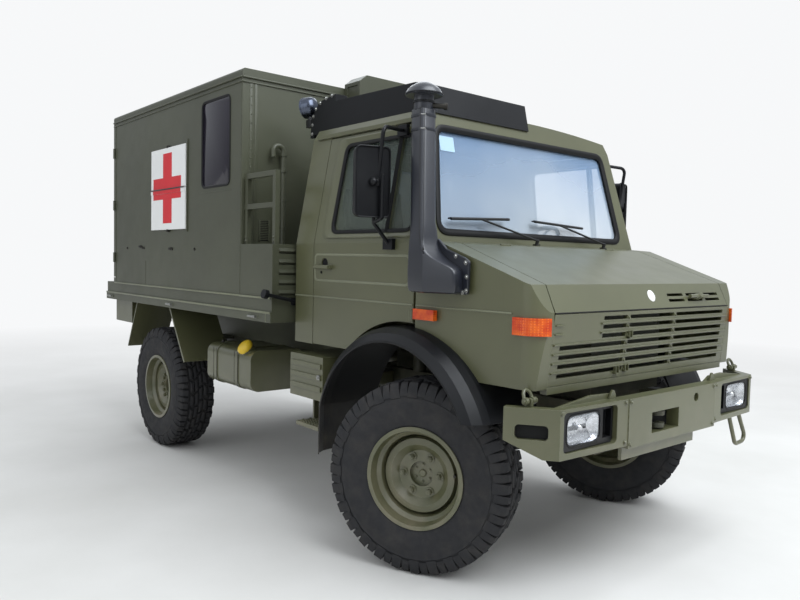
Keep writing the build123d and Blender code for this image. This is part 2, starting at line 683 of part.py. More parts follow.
MIRROR_SIZE = (190, 370)
door_front_line = screen_region(SCREEN_SPLIT + DOOR_GAP, ROOF_SPLIT_Z + 100)
door_arch = arch_plug(FLARE_RISE + 22, 300, ARCH_REACH)
window_hole = window_plug(ARCH_REACH)
for name, side in (("right", -1), ("left", 1)):
    skin = (side * (DRIP_HALF - 150), side * (CAB_HALF + CUT_PAST))
    face_y = side * CAB_HALF
    with BuildPart() as door:
        add(cab_outer)
        add(cab_inner, mode=Mode.SUBTRACT)
        block((DOOR_REAR + DOOR_GAP, ahead(200)), skin, (SILL_Z + 4, ROOF_SPLIT_Z - DOOR_GAP), Mode.INTERSECT)
        side_prism(door_front_line, ARCH_REACH, Mode.SUBTRACT)
        block((CAB_REAR, ahead(400)), (55 - DRIP_HALF, DRIP_HALF - 55), (1000, 2600), Mode.SUBTRACT)
        add(door_arch, mode=Mode.SUBTRACT)
        add(window_hole, mode=Mode.SUBTRACT)
        divider = [
            (side * half_width(GLASS_Z[0] - 20), GLASS_Z[0] - 20),
            (side * half_width(GLASS_Z[1] + 20), GLASS_Z[1] + 20),
            (side * (half_width(GLASS_Z[1] + 20) - 30), GLASS_Z[1] + 20),
            (side * (half_width(GLASS_Z[0] - 20) - 30), GLASS_Z[0] - 20),
        ]
        cross_prism([(y - side * 4, z) for y, z in divider], [ahead(x) for x in DIVIDER_X])
        grip_z = HANDLE_Z + 22
        pocket_start = (ahead(-835), face_y - side * 9, grip_z)
        rod(pocket_start, (ahead(-835), face_y + side, grip_z), HANDLE_POCKET_R, Mode.SUBTRACT)
        for x in HANDLE_X:
            post_y = (face_y - side * 2, face_y + side * 24)
            block((ahead(x) - 13, ahead(x) + 13), post_y, (HANDLE_Z - 13, HANDLE_Z + 13))
        grip_y = (face_y + side * 14, face_y + side * 28)
        block([ahead(x) for x in HANDLE_X], grip_y, (HANDLE_Z - 11, HANDLE_Z + 11))
        for z in CAB_HINGE_Z:
            barrel = (DOOR_HINGE_X, side * CAB_HALF)
            rod((*barrel, z - 35), (*barrel, z + 35), DOOR_HINGE_R)
    door.part.label = f"door_{name}"
    export_step(door.part, f"parts/door_{name}.step")

    low, high = GLASS_Z[0] - 20, GLASS_Z[1] + 20
    glass_section = [
        (side * (half_width(low) - 18), low), (side * (half_width(high) - 18), high),
        (side * (half_width(high) - 18 - GLASS_T), high), (side * (half_width(low) - 18 - GLASS_T), low),
    ]
    with BuildPart() as door_glass:
        cross_prism(glass_section, (ahead(-900), ahead(100)))
        add(window_hole, mode=Mode.INTERSECT)
        block([ahead(x) for x in DIVIDER_X], ARCH_REACH, (BELT_Z, DRIP_Z), Mode.SUBTRACT)
    door_glass.part.label = f"door_glass_{name}"
    export_step(door_glass.part, f"parts/door_glass_{name}.step")

    # Mirror: bowed arm between two door brackets, and the head clamped to it
    foot = (ahead(-202), side * (CAB_HALF + 14), 1737)
    knee = (ahead(-195), side * 1130, 1850)
    crown = (ahead(-120), side * 1130, 2350)
    root = (ahead(-228), side * (half_width(2341) + 14), 2371)
    head = (ahead(-180), side * 1160, 2060)
    turn = side * 18
    with BuildPart() as mirror:
        with BuildLine():
            FilletPolyline(foot, knee, crown, root, radius=40)
        with BuildSketch(Plane(origin=foot, z_dir=Vector(*knee) - Vector(*foot))):
            Circle(11)
        sweep()
        for end in (foot, root):
            seat = end[1] - side * (14 - SEAT_GAP)
            block((end[0] - 40, end[0] + 40), (seat, seat + side * 24), (end[2] - 30, end[2] + 30))
        across, facing = Vector(0, 1, 0).rotate(Axis.Z, turn), Vector(1, 0, 0).rotate(Axis.Z, turn)
        with BuildSketch(Plane(origin=head, x_dir=across, z_dir=facing)):
            RectangleRounded(*MIRROR_SIZE, 30)
        extrude(amount=23, both=True)
        rod((ahead(-158), side * 1130, 2060), (head[0], head[1], 2060), 24)
    mirror.part.label = f"mirror_{name}"
    export_step(mirror.part, f"parts/mirror_{name}.step")



def box_window(side, inner, depth):
    """Rounded window shape in a box wall, from an inner distance outward by a depth."""
    with BuildPart() as shape:
        middle = (ahead(sum(WINDOW_X) / 2), side * inner, sum(WINDOW_Z) / 2)
        plane = Plane(origin=middle, x_dir=(1, 0, 0), z_dir=(0, side, 0))
        with BuildSketch(plane) as outline:
            RectangleRounded(WINDOW_X[1] - WINDOW_X[0], WINDOW_Z[1] - WINDOW_Z[0], WINDOW_CORNER_R)
        extrude(amount=depth)
    return shape.part


# Fixed glass: windscreen, cab rear window, box side windows
with BuildPart() as fixed_glass:
    low, high = SCREEN_LOW[1] - 60, SCREEN_HIGH[1] + 60
    band = [
        (screen_x(low, 14), low), (screen_x(high, 14), high),
        (screen_x(high, 20), high), (screen_x(low, 20), low),
    ]
    side_prism(band, CAB_REACH)
    add(screen_plug, mode=Mode.INTERSECT)
    block((CAB_REAR + 18, CAB_REAR + 18 + GLASS_T), (-REAR_GLASS_HALF, REAR_GLASS_HALF), REAR_GLASS_Z)
    for side in (-1, 1):
        pane = box_window(side, BOX_HALF - 32, 8)
        add(pane)
fixed_glass.part.label = "fixed_glass"
export_step(fixed_glass.part, "parts/fixed_glass.step")

# Cab interior: seats on their boxes, dashboard, steering wheel and column
DASH_X = (ahead(-300), ahead(-FLOOR_T))
WHEEL_CENTRE = (ahead(-430), 480, 1770)
COLUMN_DIR = Vector(0.62, 0, -0.78)
with BuildPart() as cab_interior:
    for y in (-480, 480):
        block((ahead(-1040), ahead(-680)), (y - 230, y + 230), (SILL_Z + FLOOR_T, 1380))
        block((ahead(-1040), ahead(-540)), (y - 250, y + 250), (1380, 1500))
        side_prism(stations([(-1040, 1500), (-920, 1500), (-1000, 2120), (-1090, 2120)]), (y - 240, y + 240))
    side_prism(
        [(DASH_X[0], 1560), (DASH_X[1], 1540), (DASH_X[1], 1740), (DASH_X[0] + 60, 1740)],
        (-CAB_HALF + CAB_WALL + 12, CAB_HALF - CAB_WALL - 12),
    )
    hub = Vector(*WHEEL_CENTRE)
    with Locations(Plane(origin=WHEEL_CENTRE, z_dir=COLUMN_DIR)):
        Torus(205, 15)
        Cylinder(45, 30)
        for angle in (90, 210, 330):
            with Locations(Location((0, 0, 0), (0, 0, angle))):
                with Locations((105, 0, 0)):
                    Box(200, 22, 12)
    rod(tuple(hub), tuple(hub + COLUMN_DIR * 260), 26)
cab_interior.part.label = "cab_interior"
export_step(cab_interior.part, "parts/cab_interior.step")

# Front body: both wing sides with the rounded front corners, scuttle and front bar
body_plan = [
    (ahead(14), CAB_HALF - 2), (ahead(200), CAB_HALF - 8),
    (ahead(600), NOSE_HALF), (NOSE_X - 4, NOSE_HALF - 8),
    (NOSE_X - 4, -NOSE_HALF + 8), (ahead(600), -NOSE_HALF),
    (ahead(200), -CAB_HALF + 8), (ahead(14), -CAB_HALF + 2),
]
TOP_SLOPE = (BONNET_REAR_Z - CREASE_Z) / (CREASE_X - BONNET_REAR)


def top_z(x):
    """Height of the bonnet's top plane at a station."""
    return BONNET_REAR_Z - (x - BONNET_REAR) * TOP_SLOPE


nose_outline = [
    (ahead(14), NOSE_Z), (NOSE_LOW_X, NOSE_Z), (NOSE_X, LIP_Z),
    (CREASE_X, CREASE_Z), (BONNET_REAR, BONNET_REAR_Z),
    (ahead(SCREEN_X), BONNET_REAR_Z + 11), (ahead(SCREEN_X), BELT_Z), (ahead(14), BELT_Z),
]
with BuildPart() as nose_solid:
    with BuildSketch(Plane.XY.offset(NOSE_Z)) as plan:
        with BuildLine():
            Polyline(body_plan, close=True)
        make_face()
        front_corners = plan.vertices().group_by(Axis.X)[-1]
        fillet(front_corners, CORNER_R)
    extrude(amount=BELT_Z - NOSE_Z + 60)
    side_prism(nose_outline, CAB_REACH, Mode.INTERSECT)
with BuildPart() as front_body:
    add(nose_solid.part)
    block((BONNET_REAR, ahead(900)), (-BONNET_HALF, BONNET_HALF), (NOSE_Z + 1, 1900), Mode.SUBTRACT)
    block((ahead(0), ahead(730)), (-BONNET_HALF, BONNET_HALF), (1000, SCUTTLE_Z), Mode.SUBTRACT)
    block((ahead(0), ahead(60)), (-CAB_HALF + 60, CAB_HALF - 60), (1000, BELT_Z - 60), Mode.SUBTRACT)
    block((ahead(735), NOSE_LOW_X), (-BONNET_HALF, BONNET_HALF), (NOSE_Z - 27, NOSE_Z + 8))
    add(arch_cut, mode=Mode.SUBTRACT)
front_body.part.label = "front_body"
export_step(front_body.part, "parts/front_body.step")

# Bonnet: top skin and front lip, with its vent slots
BONNET_CLEAR = 6
LIP_GAP = 3
bonnet_outline = [
    (BONNET_REAR + BONNET_CLEAR, top_z(BONNET_REAR + BONNET_CLEAR)),
    (CREASE_X, CREASE_Z), (NOSE_X, LIP_Z + LIP_GAP),
    (NOSE_X - BONNET_T, LIP_Z + LIP_GAP), (CREASE_X - 16, CREASE_Z - BONNET_T),
    (BONNET_REAR + BONNET_CLEAR, top_z(BONNET_REAR + BONNET_CLEAR) - BONNET_T),
]
BONNET_HINGE_R = 5
BONNET_HINGE_Y = [-500, 500]
VENT_Y = [(190, 360), (395, 565), (600, 770)]
VENT_Z = [1452, 1482]
with BuildPart() as bonnet:
    side_prism(bonnet_outline, (-BONNET_HALF + BONNET_CLEAR, BONNET_HALF - BONNET_CLEAR))
    for y in VENT_Y:
        for z in VENT_Z:
            block((ahead(700), ahead(900)), y, (z, z + 15), Mode.SUBTRACT)
    for y in BONNET_HINGE_Y:
        barrel = (BONNET_REAR + BONNET_CLEAR, BONNET_REAR_Z)
        rod((barrel[0], y - 40, barrel[1]), (barrel[0], y + 40, barrel[1]), BONNET_HINGE_R)
bonnet.part.label = "bonnet"
export_step(bonnet.part, "parts/bonnet.step")

# Grille: one sloping panel with seven rows of slots, a raised rib over each, and tabs between them
SLOT_Z = [1108, 1153, 1197, 1242, 1286, 1331, 1375]
SLOT_H = 20
SLOT_END = 785
SHORT_START = -450
DIVIDERS = [-230, 230]
DIVIDER_W = 26
RIB_OUT = 9
RIB_H = 12
RIB_END = 835
TAB_W = 8
LOW_ROWS = 4


def grille_x(z):
    """Grille face's x at a height."""
    return NOSE_LOW_X + (z - NOSE_Z - 10) * (NOSE_X - NOSE_LOW_X) / (LIP_Z - NOSE_Z - 10)


grille_outline = [
    (NOSE_LOW_X, NOSE_Z + 10), (NOSE_X, LIP_Z), (NOSE_X - 22, LIP_Z), (NOSE_LOW_X - 22, NOSE_Z + 10),
]
with BuildPart() as grille:
    side_prism(grille_outline, (-BONNET_HALF + 1, BONNET_HALF - 1))
    for row, z in enumerate(SLOT_Z):
        start = -SLOT_END if row < LOW_ROWS else SHORT_START
        cuts = [start] + [y + half for y in DIVIDERS for half in (-DIVIDER_W / 2, DIVIDER_W / 2)] + [SLOT_END]
        for low, high in zip(cuts[::2], cuts[1::2]):
            if high > low:
                block((ahead(700), ahead(900)), (low, high), (z, z + SLOT_H), Mode.SUBTRACT)
        foot, top = z + SLOT_H + 1, z + SLOT_H + 1 + RIB_H
        rib = [
            (grille_x(foot) - 2, foot), (grille_x(foot) + RIB_OUT, foot + 3),
            (grille_x(top) + RIB_OUT, top - 3), (grille_x(top) - 2, top),
        ]
        if row < len(SLOT_Z) - 1:
            side_prism(rib, (-RIB_END if row < LOW_ROWS else SHORT_START - 20, RIB_END))
        tab = [(grille_x(z) - 2, z), (grille_x(z) + RIB_OUT + 3, z), (grille_x(z) - 2, z + SLOT_H)]
        for y in DIVIDERS:
            side_prism(tab, (y - TAB_W / 2, y + TAB_W / 2))
grille.part.label = "grille"
export_step(grille.part, "parts/grille.step")

# Bumper: centre plate between two lamp sections, ends swept back, step rod under the left end
BUMPER_Z = (772, 1002)
BUMPER_X = ahead(FRONT_OVERHANG)
LAMP_X = ahead(928)
END_X = ahead(722)
SEAM_Y = 434
KINK_Y = 939
END_Y = 1085
BUMPER_T = 45
LAMP_Y = 756
LAMP_Z = (824, 966)
LAMP_HALF_Y = 128
POCKET_Y = (522, 914)
POCKET_Z = (801, 985)
POCKET_R = 22
END_POCKET = (150, 67, 25)
TOW_HOLE_Y = (-225, 38)
TOW_HOLE_Z = (806, 912)
LOW_PLATE_Y = (-434, 265)
LOW_PLATE_Z = 694
ROD_R_STEP = 12
STEP_ROD = [(898, 724, 790), (898, 830, 583), (898, 972, 592), (898, 842, 790)]
bumper_plan = [
    (BUMPER_X - 4, SEAM_Y), (LAMP_X, KINK_Y), (END_X, END_Y), (END_X - 20, END_Y - 40),
    (LAMP_X - BUMPER_T, KINK_Y - 30), (LAMP_X - BUMPER_T, SEAM_Y),
]
end_run = Vector(END_X - LAMP_X, END_Y - KINK_Y)


def pocket_plug(side, inset, start, depth):
    """Headlamp pocket's rounded outline, inset by a distance, filled forward from a station."""
    with BuildPart() as plug:
        centre = (start, side * sum(POCKET_Y) / 2, sum(POCKET_Z) / 2)
        with BuildSketch(Plane(origin=centre, x_dir=(0, 1, 0), z_dir=(1, 0, 0))):
            width = POCKET_Y[1] - POCKET_Y[0] - 2 * inset
            RectangleRounded(width, POCKET_Z[1] - POCKET_Z[0] - 2 * inset, POCKET_R)
        extrude(amount=depth)
    return plug.part


with BuildPart() as bumper:
    for side in (-1, 1):
        half_plan = [(x, side * y) for x, y in bumper_plan]
        prism(Plane.XY.offset(BUMPER_Z[0]), half_plan, BUMPER_Z[1] - BUMPER_Z[0])
        end_cut = [
            (LAMP_X - 60, BUMPER_Z[0] - 1), (LAMP_X - 60, BUMPER_Z[0]),
            (END_X - 40, 872), (END_X - 40, BUMPER_Z[0] - 1),
        ]
        side_prism(end_cut, (side * (KINK_Y - 40), side * (END_Y + 5)), Mode.SUBTRACT)
        add(pocket_plug(side, 0, LAMP_X - BUMPER_T - 5, BUMPER_T + 40), mode=Mode.SUBTRACT)
        # Slotted pocket in the swept end
        middle = (LAMP_X + end_run.X / 2, side * (KINK_Y + end_run.Y / 2), 893)
        face_out = Vector(end_run.Y, -side * end_run.X, 0)
        with BuildSketch(Plane(origin=middle, x_dir=(end_run.X, side * end_run.Y, 0), z_dir=face_out)):
            RectangleRounded(END_POCKET[0], END_POCKET[1], 20)
        extrude(amount=-END_POCKET[2], mode=Mode.SUBTRACT)
        gusset = [(side * 935, 998.5), (side * 650, 1032), (side * 500, 1026), (side * 445, 998.5)]
        cross_prism(gusset, (LAMP_X - BUMPER_T - 12, LAMP_X - BUMPER_T + 3))
        block((RAIL_X[0], LAMP_X - BUMPER_T), (side * 340, side * RAIL_Y), (800, 930))
    block((LAMP_X - BUMPER_T, BUMPER_X), (-SEAM_Y, SEAM_Y), (757, BUMPER_Z[1]))
    block((LAMP_X - BUMPER_T - 10, BUMPER_X + 10), TOW_HOLE_Y, TOW_HOLE_Z, Mode.SUBTRACT)
    block((BUMPER_X - 55, BUMPER_X - 35), LOW_PLATE_Y, (LOW_PLATE_Z, 760))
    rod((BUMPER_X - 30, 218, 944), (BUMPER_X + 10, 218, 944), 24, Mode.SUBTRACT)
    with BuildLine():
        FilletPolyline(*[(ahead(x), y, z) for x, y, z in STEP_ROD], radius=36)
    step_way = Vector(*STEP_ROD[1]) - Vector(*STEP_ROD[0])
    with BuildSketch(Plane(origin=(ahead(STEP_ROD[0][0]), *STEP_ROD[0][1:]), z_dir=step_way)):
        Circle(ROD_R_STEP)
    sweep()
bumper.part.label = "bumper"
export_step(bumper.part, "parts/bumper.step")

# Towing jaws with vertical pin bores: one behind the bumper's centre opening, one at the rear
JAW_X = (FRONT_BEAM_X[1], ahead(900))
JAW_Y = sum(TOW_HOLE_Y) / 2
JAW_Z = sum(TOW_HOLE_Z) / 2
JAW_R = 42
with BuildPart() as towing_jaws:
    block((JAW_X[0], JAW_X[0] + 25), (JAW_Y - 100, JAW_Y + 100), (JAW_Z - 52, JAW_Z + 52))
    for low in (-44, 20):
        block((JAW_X[0], JAW_X[1]), (JAW_Y - JAW_R, JAW_Y + JAW_R), (JAW_Z + low, JAW_Z + low + 24))
        rod((JAW_X[1], JAW_Y, JAW_Z + low), (JAW_X[1], JAW_Y, JAW_Z + low + 24), JAW_R)
    rod((JAW_X[1], JAW_Y, JAW_Z - 60), (JAW_X[1], JAW_Y, JAW_Z + 60), HITCH_PIN_R, Mode.SUBTRACT)
    block((HITCH_X[1] - 30, HITCH_X[1]), (-90, 90), (HITCH_Z - 80, HITCH_Z + 80))
    for low in (-62, 34):
        block((HITCH_X[0] + 60, HITCH_X[1] - 30), (-60, 60), (HITCH_Z + low, HITCH_Z + low + 28))
        rod((HITCH_X[0] + 60, 0, HITCH_Z + low), (HITCH_X[0] + 60, 0, HITCH_Z + low + 28), 60)
    rod((HITCH_X[0] + 60, 0, HITCH_Z - 70), (HITCH_X[0] + 60, 0, HITCH_Z + 70), HITCH_PIN_R, Mode.SUBTRACT)
towing_jaws.part.label = "towing_jaws"
export_step(towing_jaws.part, "parts/towing_jaws.step")


def lamp_plug(side, grow, start, depth):
    """Headlamp's rounded outline, grown by a distance, filled forward from a station."""
    with BuildPart() as plug:
        middle = (start, side * LAMP_Y, sum(LAMP_Z) / 2)
        with BuildSketch(Plane(origin=middle, x_dir=(0, 1, 0), z_dir=(1, 0, 0))):
            RectangleRounded(2 * (LAMP_HALF_Y + grow), LAMP_Z[1] - LAMP_Z[0] + 2 * grow, 44)
        extrude(amount=depth)
    return plug.part


# Clear lamps: headlamps in their pockets, and the search lamp behind the roof shroud
TRAY_X = LAMP_X - BUMPER_T - SEAT_GAP
with BuildPart() as clear_lamps:
    for side in (-1, 1):
        add(lamp_plug(side, 0, TRAY_X + SEAT_GAP, BUMPER_T - 14))
    rod((ahead(-1305), -815, DRIP_Z + 220), (ahead(-1375), -843, DRIP_Z + 211), 68)
    block((ahead(-1335), ahead(-1269)), (-835, -795), (DRIP_Z + 110, DRIP_Z + 170))
clear_lamps.part.label = "clear_lamps"
export_step(clear_lamps.part, "parts/clear_lamps.step")

# Lamp mounts: black headlamp trays with their surrounds, and the marker lamps on rubber arms
MARKER_X = ahead(-1186)
MARKER_FOOT = (985, 1366)
MARKER_TIP = (1226, 1420)
with BuildPart() as lamp_mounts:
    for side in (-1, 1):
        tray_y = (side * (POCKET_Y[0] - 12), side * (KINK_Y - 33))
        block((TRAY_X - 18, TRAY_X), tray_y, (POCKET_Z[0] - 12, POCKET_Z[1] + 12))
        add(pocket_plug(side, 2, TRAY_X - 1, BUMPER_T - 4))
        add(lamp_plug(side, 6, TRAY_X, BUMPER_T + 10), mode=Mode.SUBTRACT)
        recess = (side * (POCKET_Y[0] + 16), side * (POCKET_Y[0] + 84))
        block((TRAY_X + 6, LAMP_X + 10), recess, (POCKET_Z[0] + 30, POCKET_Z[1] - 18), Mode.SUBTRACT)
        foot, tip = MARKER_FOOT, MARKER_TIP
        pad_y = (side * (foot[0] - 35), side * (foot[0] + 20))
        block((MARKER_X - 23 + SEAT_GAP, MARKER_X), pad_y, (foot[1] - 25, foot[1] + 22))
        rod((MARKER_X, side * foot[0], foot[1]), (MARKER_X, side * tip[0], tip[1]), 12)
        run = Vector(0, side * (tip[0] - foot[0]), tip[1] - foot[1]).normalized() * 30
        ball = Vector(MARKER_X, side * tip[0], tip[1])
        rod(tuple(ball - run), tuple(ball), 30)
lamp_mounts.part.label = "lamp_mounts"
export_step(lamp_mounts.part, "parts/lamp_mounts.step")

# Wipers: pivot, arm and blade in front of each half of the windscreen
WIPERS = [
    # pivot y, blade's two ends: y and height above the pivot's foot
    (-120, (-785, 126), (-310, 146)),
    (564, (-74, 146), (400, 126)),
]
WIPER_X = ahead(100)
WIPER_FOOT_Z = BONNET_REAR_Z + 8
BLADE_OUT = 34
with BuildPart() as wipers:
    for pivot_y, first, second in WIPERS:
        block((WIPER_X - 14, WIPER_X + 14), (pivot_y - 18, pivot_y + 18), (WIPER_FOOT_Z, WIPER_FOOT_Z + 8))
        rod((WIPER_X, pivot_y, WIPER_FOOT_Z + 4), (WIPER_X + 8, pivot_y, WIPER_FOOT_Z + 34), 11)
        ends = [
            (screen_x(WIPER_FOOT_Z + rise) + BLADE_OUT, y, WIPER_FOOT_Z + rise) for y, rise in (first, second)
        ]
        middle = tuple((a + b) / 2 for a, b in zip(*ends))
        rod((WIPER_X + 6, pivot_y, WIPER_FOOT_Z + 28), middle, 6)
        rod(*ends, 8)
wipers.part.label = "wipers"
export_step(wipers.part, "parts/wipers.step")

# Signal lamps: side markers, corner indicators and rear lamp clusters
with BuildPart() as signal_lamps:
    for side in (-1, 1):
        block((ahead(23), ahead(181)), (side * (CAB_HALF - 1.7), side * (CAB_HALF + 26)), (1343, 1398))
        corner = (ahead(665), NOSE_X + 20), (side * 880, side * 1000), (1316, 1398)
        with BuildSketch(Plane.XY.offset(1316)):
            add(plan.sketch.moved(Location((0, 0, 1316 - NOSE_Z))))
            offset(amount=16)
            with BuildSketch(Plane.XY.offset(1316), mode=Mode.SUBTRACT):
                add(plan.sketch.moved(Location((0, 0, 1316 - NOSE_Z))))
                offset(amount=SEAT_GAP)
            with Locations(((corner[0][0] + corner[0][1]) / 2, (corner[1][0] + corner[1][1]) / 2)):
                Rectangle(corner[0][1] - corner[0][0], 120, mode=Mode.INTERSECT)
        extrude(amount=82)
        block((PLATFORM_X[0] - 40, PLATFORM_X[0]), (side * 800, side * 1080), (1240, 1340))
signal_lamps.part.label = "signal_lamps"
export_step(signal_lamps.part, "parts/signal_lamps.step")

# Raised air intake: bevelled duct base on the wing, rounded square pipe along the pillar, rain cap
PIPE_W = 106
PIPE_CORNER_R = 38
PIPE_TOP = Vector(ahead(-20), -DRIP_HALF - 67, DRIP_Z + 20)
PIPE_LOW = Vector(ahead(141), -CAB_HALF - 76, BELT_Z - 5)
NECK_R = 54
NECK_TOP = DRIP_Z + 110
CAP_R = 99
CLAMP_SHARES = [0.83, 0.94]
CLAMP_L = 26
# Duct outlines at the wing, at the outer edge and on the outer face, each the last one moved inwards
DUCT_OUT = (2, -112, -130)
DUCT = [
    [(84, 1490), (352, 1490), (370, 1640), (262, 1700), (214, 1755), (196, 1840), (84, 1840)],
    [(86, 1494), (346, 1494), (362, 1636), (256, 1694), (208, 1750), (190, 1840), (86, 1840)],
    [(104, 1512), (326, 1512), (338, 1622), (240, 1674), (186, 1740), (172, 1840), (104, 1840)],
]
# Slope that thins the duct towards its front end, as stations and distances out of the wing
DUCT_SLOPE = [(205, 131), (372, 68), (372, 180), (205, 180)]
with BuildPart() as snorkel:
    for out, outline in zip(DUCT_OUT, DUCT):
        with BuildSketch(Plane.XZ.offset(CAB_HALF - out)):
            with BuildLine():
                Polyline(stations(outline), close=True)
            make_face()
    loft(ruled=True)
    slope = [(ahead(x), -CAB_HALF - out) for x, out in DUCT_SLOPE]
    prism(Plane.XY.offset(1480), slope, 300, Mode.SUBTRACT)
    flange = stations([(30, 1484), (405, 1492), (410, 1655), (375, 1672), (250, 1725), (40, 1725)])
    side_prism(flange, (-CAB_HALF + 2, -CAB_HALF - 12))
    pipe_run = PIPE_TOP - PIPE_LOW
    for share, length, lip in [(0, pipe_run.length, 0), *[(share, CLAMP_L, 6) for share in CLAMP_SHARES]]:
        with BuildSketch(Plane(origin=PIPE_LOW + pipe_run * share, x_dir=(1, 0, 0.2), z_dir=pipe_run)):
            RectangleRounded(PIPE_W + 2 * lip, PIPE_W + 2 * lip, PIPE_CORNER_R + lip)
        extrude(amount=length)
    rod((PIPE_TOP.X, PIPE_TOP.Y, PIPE_TOP.Z - 30), (PIPE_TOP.X, PIPE_TOP.Y, NECK_TOP), NECK_R)
    stay_y = (PIPE_TOP.Y, -ROOF_SIDE_HALF - 22)
    block((PIPE_TOP.X - 18, PIPE_TOP.X + 18), stay_y, (PIPE_TOP.Z + 8, PIPE_TOP.Z + 26))
    with BuildSketch(Plane.XZ.offset(-PIPE_TOP.Y)):
        with BuildLine():
            rim, crown = PIPE_TOP.X + CAP_R, PIPE_TOP.X + 14
            low = NECK_TOP - 10
            Line((PIPE_TOP.X, low), (rim, low))
            Line((rim, low), (rim, low + 14))
            ThreePointArc((rim, low + 14), (PIPE_TOP.X + 0.72 * CAP_R, low + 51), (crown, low + 74))
            Line((crown, low + 74), (PIPE_TOP.X, low + 74))
            Line((PIPE_TOP.X, low + 74), (PIPE_TOP.X, low))
        make_face()
    revolve(axis=Axis((PIPE_TOP.X, PIPE_TOP.Y, 0), (0, 0, 1)))
snorkel.part.label = "snorkel"
export_step(snorkel.part, "parts/snorkel.step")

# Black roof shroud on the right half of the cab roof, with its bolted rear flange
SHROUD_T = 20
SHROUD_RIGHT = 45 - DRIP_HALF
SHROUD_LEFT = 20
# Stations: distance ahead of the front axle, height above the drip line
shroud_outline = [(-104, 50), (-142, 212), (-220, 228), (-990, 242), (-1150, 220), (-1225, 140), (-1232, 50)]
flange_outline = [
    (-990, 242), (-1150, 220), (-1225, 140), (-1232, 35),
    (-1275, 35), (-1262, 170), (-1170, 262), (-990, 286),
]
with BuildPart() as roof_shroud:
    side_prism([(ahead(x), DRIP_Z + rise) for x, rise in shroud_outline], (SHROUD_RIGHT, SHROUD_LEFT))
    side_prism([(ahead(x), DRIP_Z + rise) for x, rise in flange_outline], (SHROUD_RIGHT, SHROUD_RIGHT + 90))
    add(cab_outer, mode=Mode.SUBTRACT)
    hollow_y = (SHROUD_RIGHT + SHROUD_T, SHROUD_LEFT - SHROUD_T)
    block((CAB_REAR - 400, CAB_REAR), hollow_y, (DRIP_Z - 20, DRIP_Z + 140), Mode.SUBTRACT)
roof_shroud.part.label = "roof_shroud"
export_step(roof_shroud.part, "parts/roof_shroud.step")

# Platform under the box: upper band, proud side rails below it, and the beams that carry it
with BuildPart() as platform:
    block(PLATFORM_X, (-BOX_HALF, BOX_HALF), (RAIL_LINE_Z, PLATFORM_Z[1]))
    block(PLATFORM_X, (-PLATFORM_HALF, PLATFORM_HALF), (PLATFORM_Z[0], RAIL_LINE_Z))
    for side in (-1, 1):
        beam_y = (side * RAIL_Y, side * (RAIL_Y - RAIL_W))
        block((ahead(-4200), ahead(-1250)), beam_y, (RAIL_Z[1], PLATFORM_Z[0]))
platform.part.label = "platform"
export_step(platform.part, "parts/platform.step")

# Box walls, roof and rear frame
LEAF_X = (BOX_REAR, BOX_REAR + DOOR_LEAF_T)
SHELL_REAR = LEAF_X[1] + 4
with BuildPart() as box_sides:
    for side in (-1, 1):
        wall_y = (side * BOX_HALF, side * (BOX_HALF - BOX_WALL))
        block((SHELL_REAR, BOX_FRONT), wall_y, (BOX_FLOOR, BOX_TOP - BOX_WALL))
        add(box_window(side, BOX_HALF - BOX_WALL - CUT_PAST, BOX_WALL + 2 * CUT_PAST), mode=Mode.SUBTRACT)
box_sides.part.label = "box_sides"
export_step(box_sides.part, "parts/box_sides.step")

inner_half = BOX_HALF - BOX_WALL
with BuildPart() as box_front_wall:
    block((BOX_FRONT - BOX_WALL, BOX_FRONT), (-inner_half, inner_half), (BOX_FLOOR, BOX_TOP - BOX_WALL))
box_front_wall.part.label = "box_front_wall"
export_step(box_front_wall.part, "parts/box_front_wall.step")

with BuildPart() as box_roof:
    block((BOX_REAR, BOX_FRONT), (-BOX_HALF, BOX_HALF), (BOX_TOP - BOX_WALL, BOX_TOP))
    fillet(box_roof.edges().filter_by(Axis.X).group_by(Axis.Z)[-1], 22)
box_roof.part.label = "box_roof"
export_step(box_roof.part, "parts/box_roof.step")

REAR_OPENING_HALF = BOX_HALF - 120
LEAF_Z = (BOX_FLOOR + 49, BOX_TOP - BOX_WALL - DOOR_GAP)
with BuildPart() as box_rear_frame:
    block((SHELL_REAR, SHELL_REAR + BOX_WALL), (-inner_half, inner_half), (BOX_FLOOR, BOX_TOP - BOX_WALL))
    opening_y = (-REAR_OPENING_HALF, REAR_OPENING_HALF)
    opening_z = (LEAF_Z[0] + 20, LEAF_Z[1] - 60)
    block((SHELL_REAR - 10, SHELL_REAR + BOX_WALL + 10), opening_y, opening_z, Mode.SUBTRACT)
    block((BOX_REAR, SHELL_REAR), (-BOX_HALF, BOX_HALF), (BOX_FLOOR, LEAF_Z[0] - DOOR_GAP))
box_rear_frame.part.label = "box_rear_frame"
export_step(box_rear_frame.part, "parts/box_rear_frame.step")

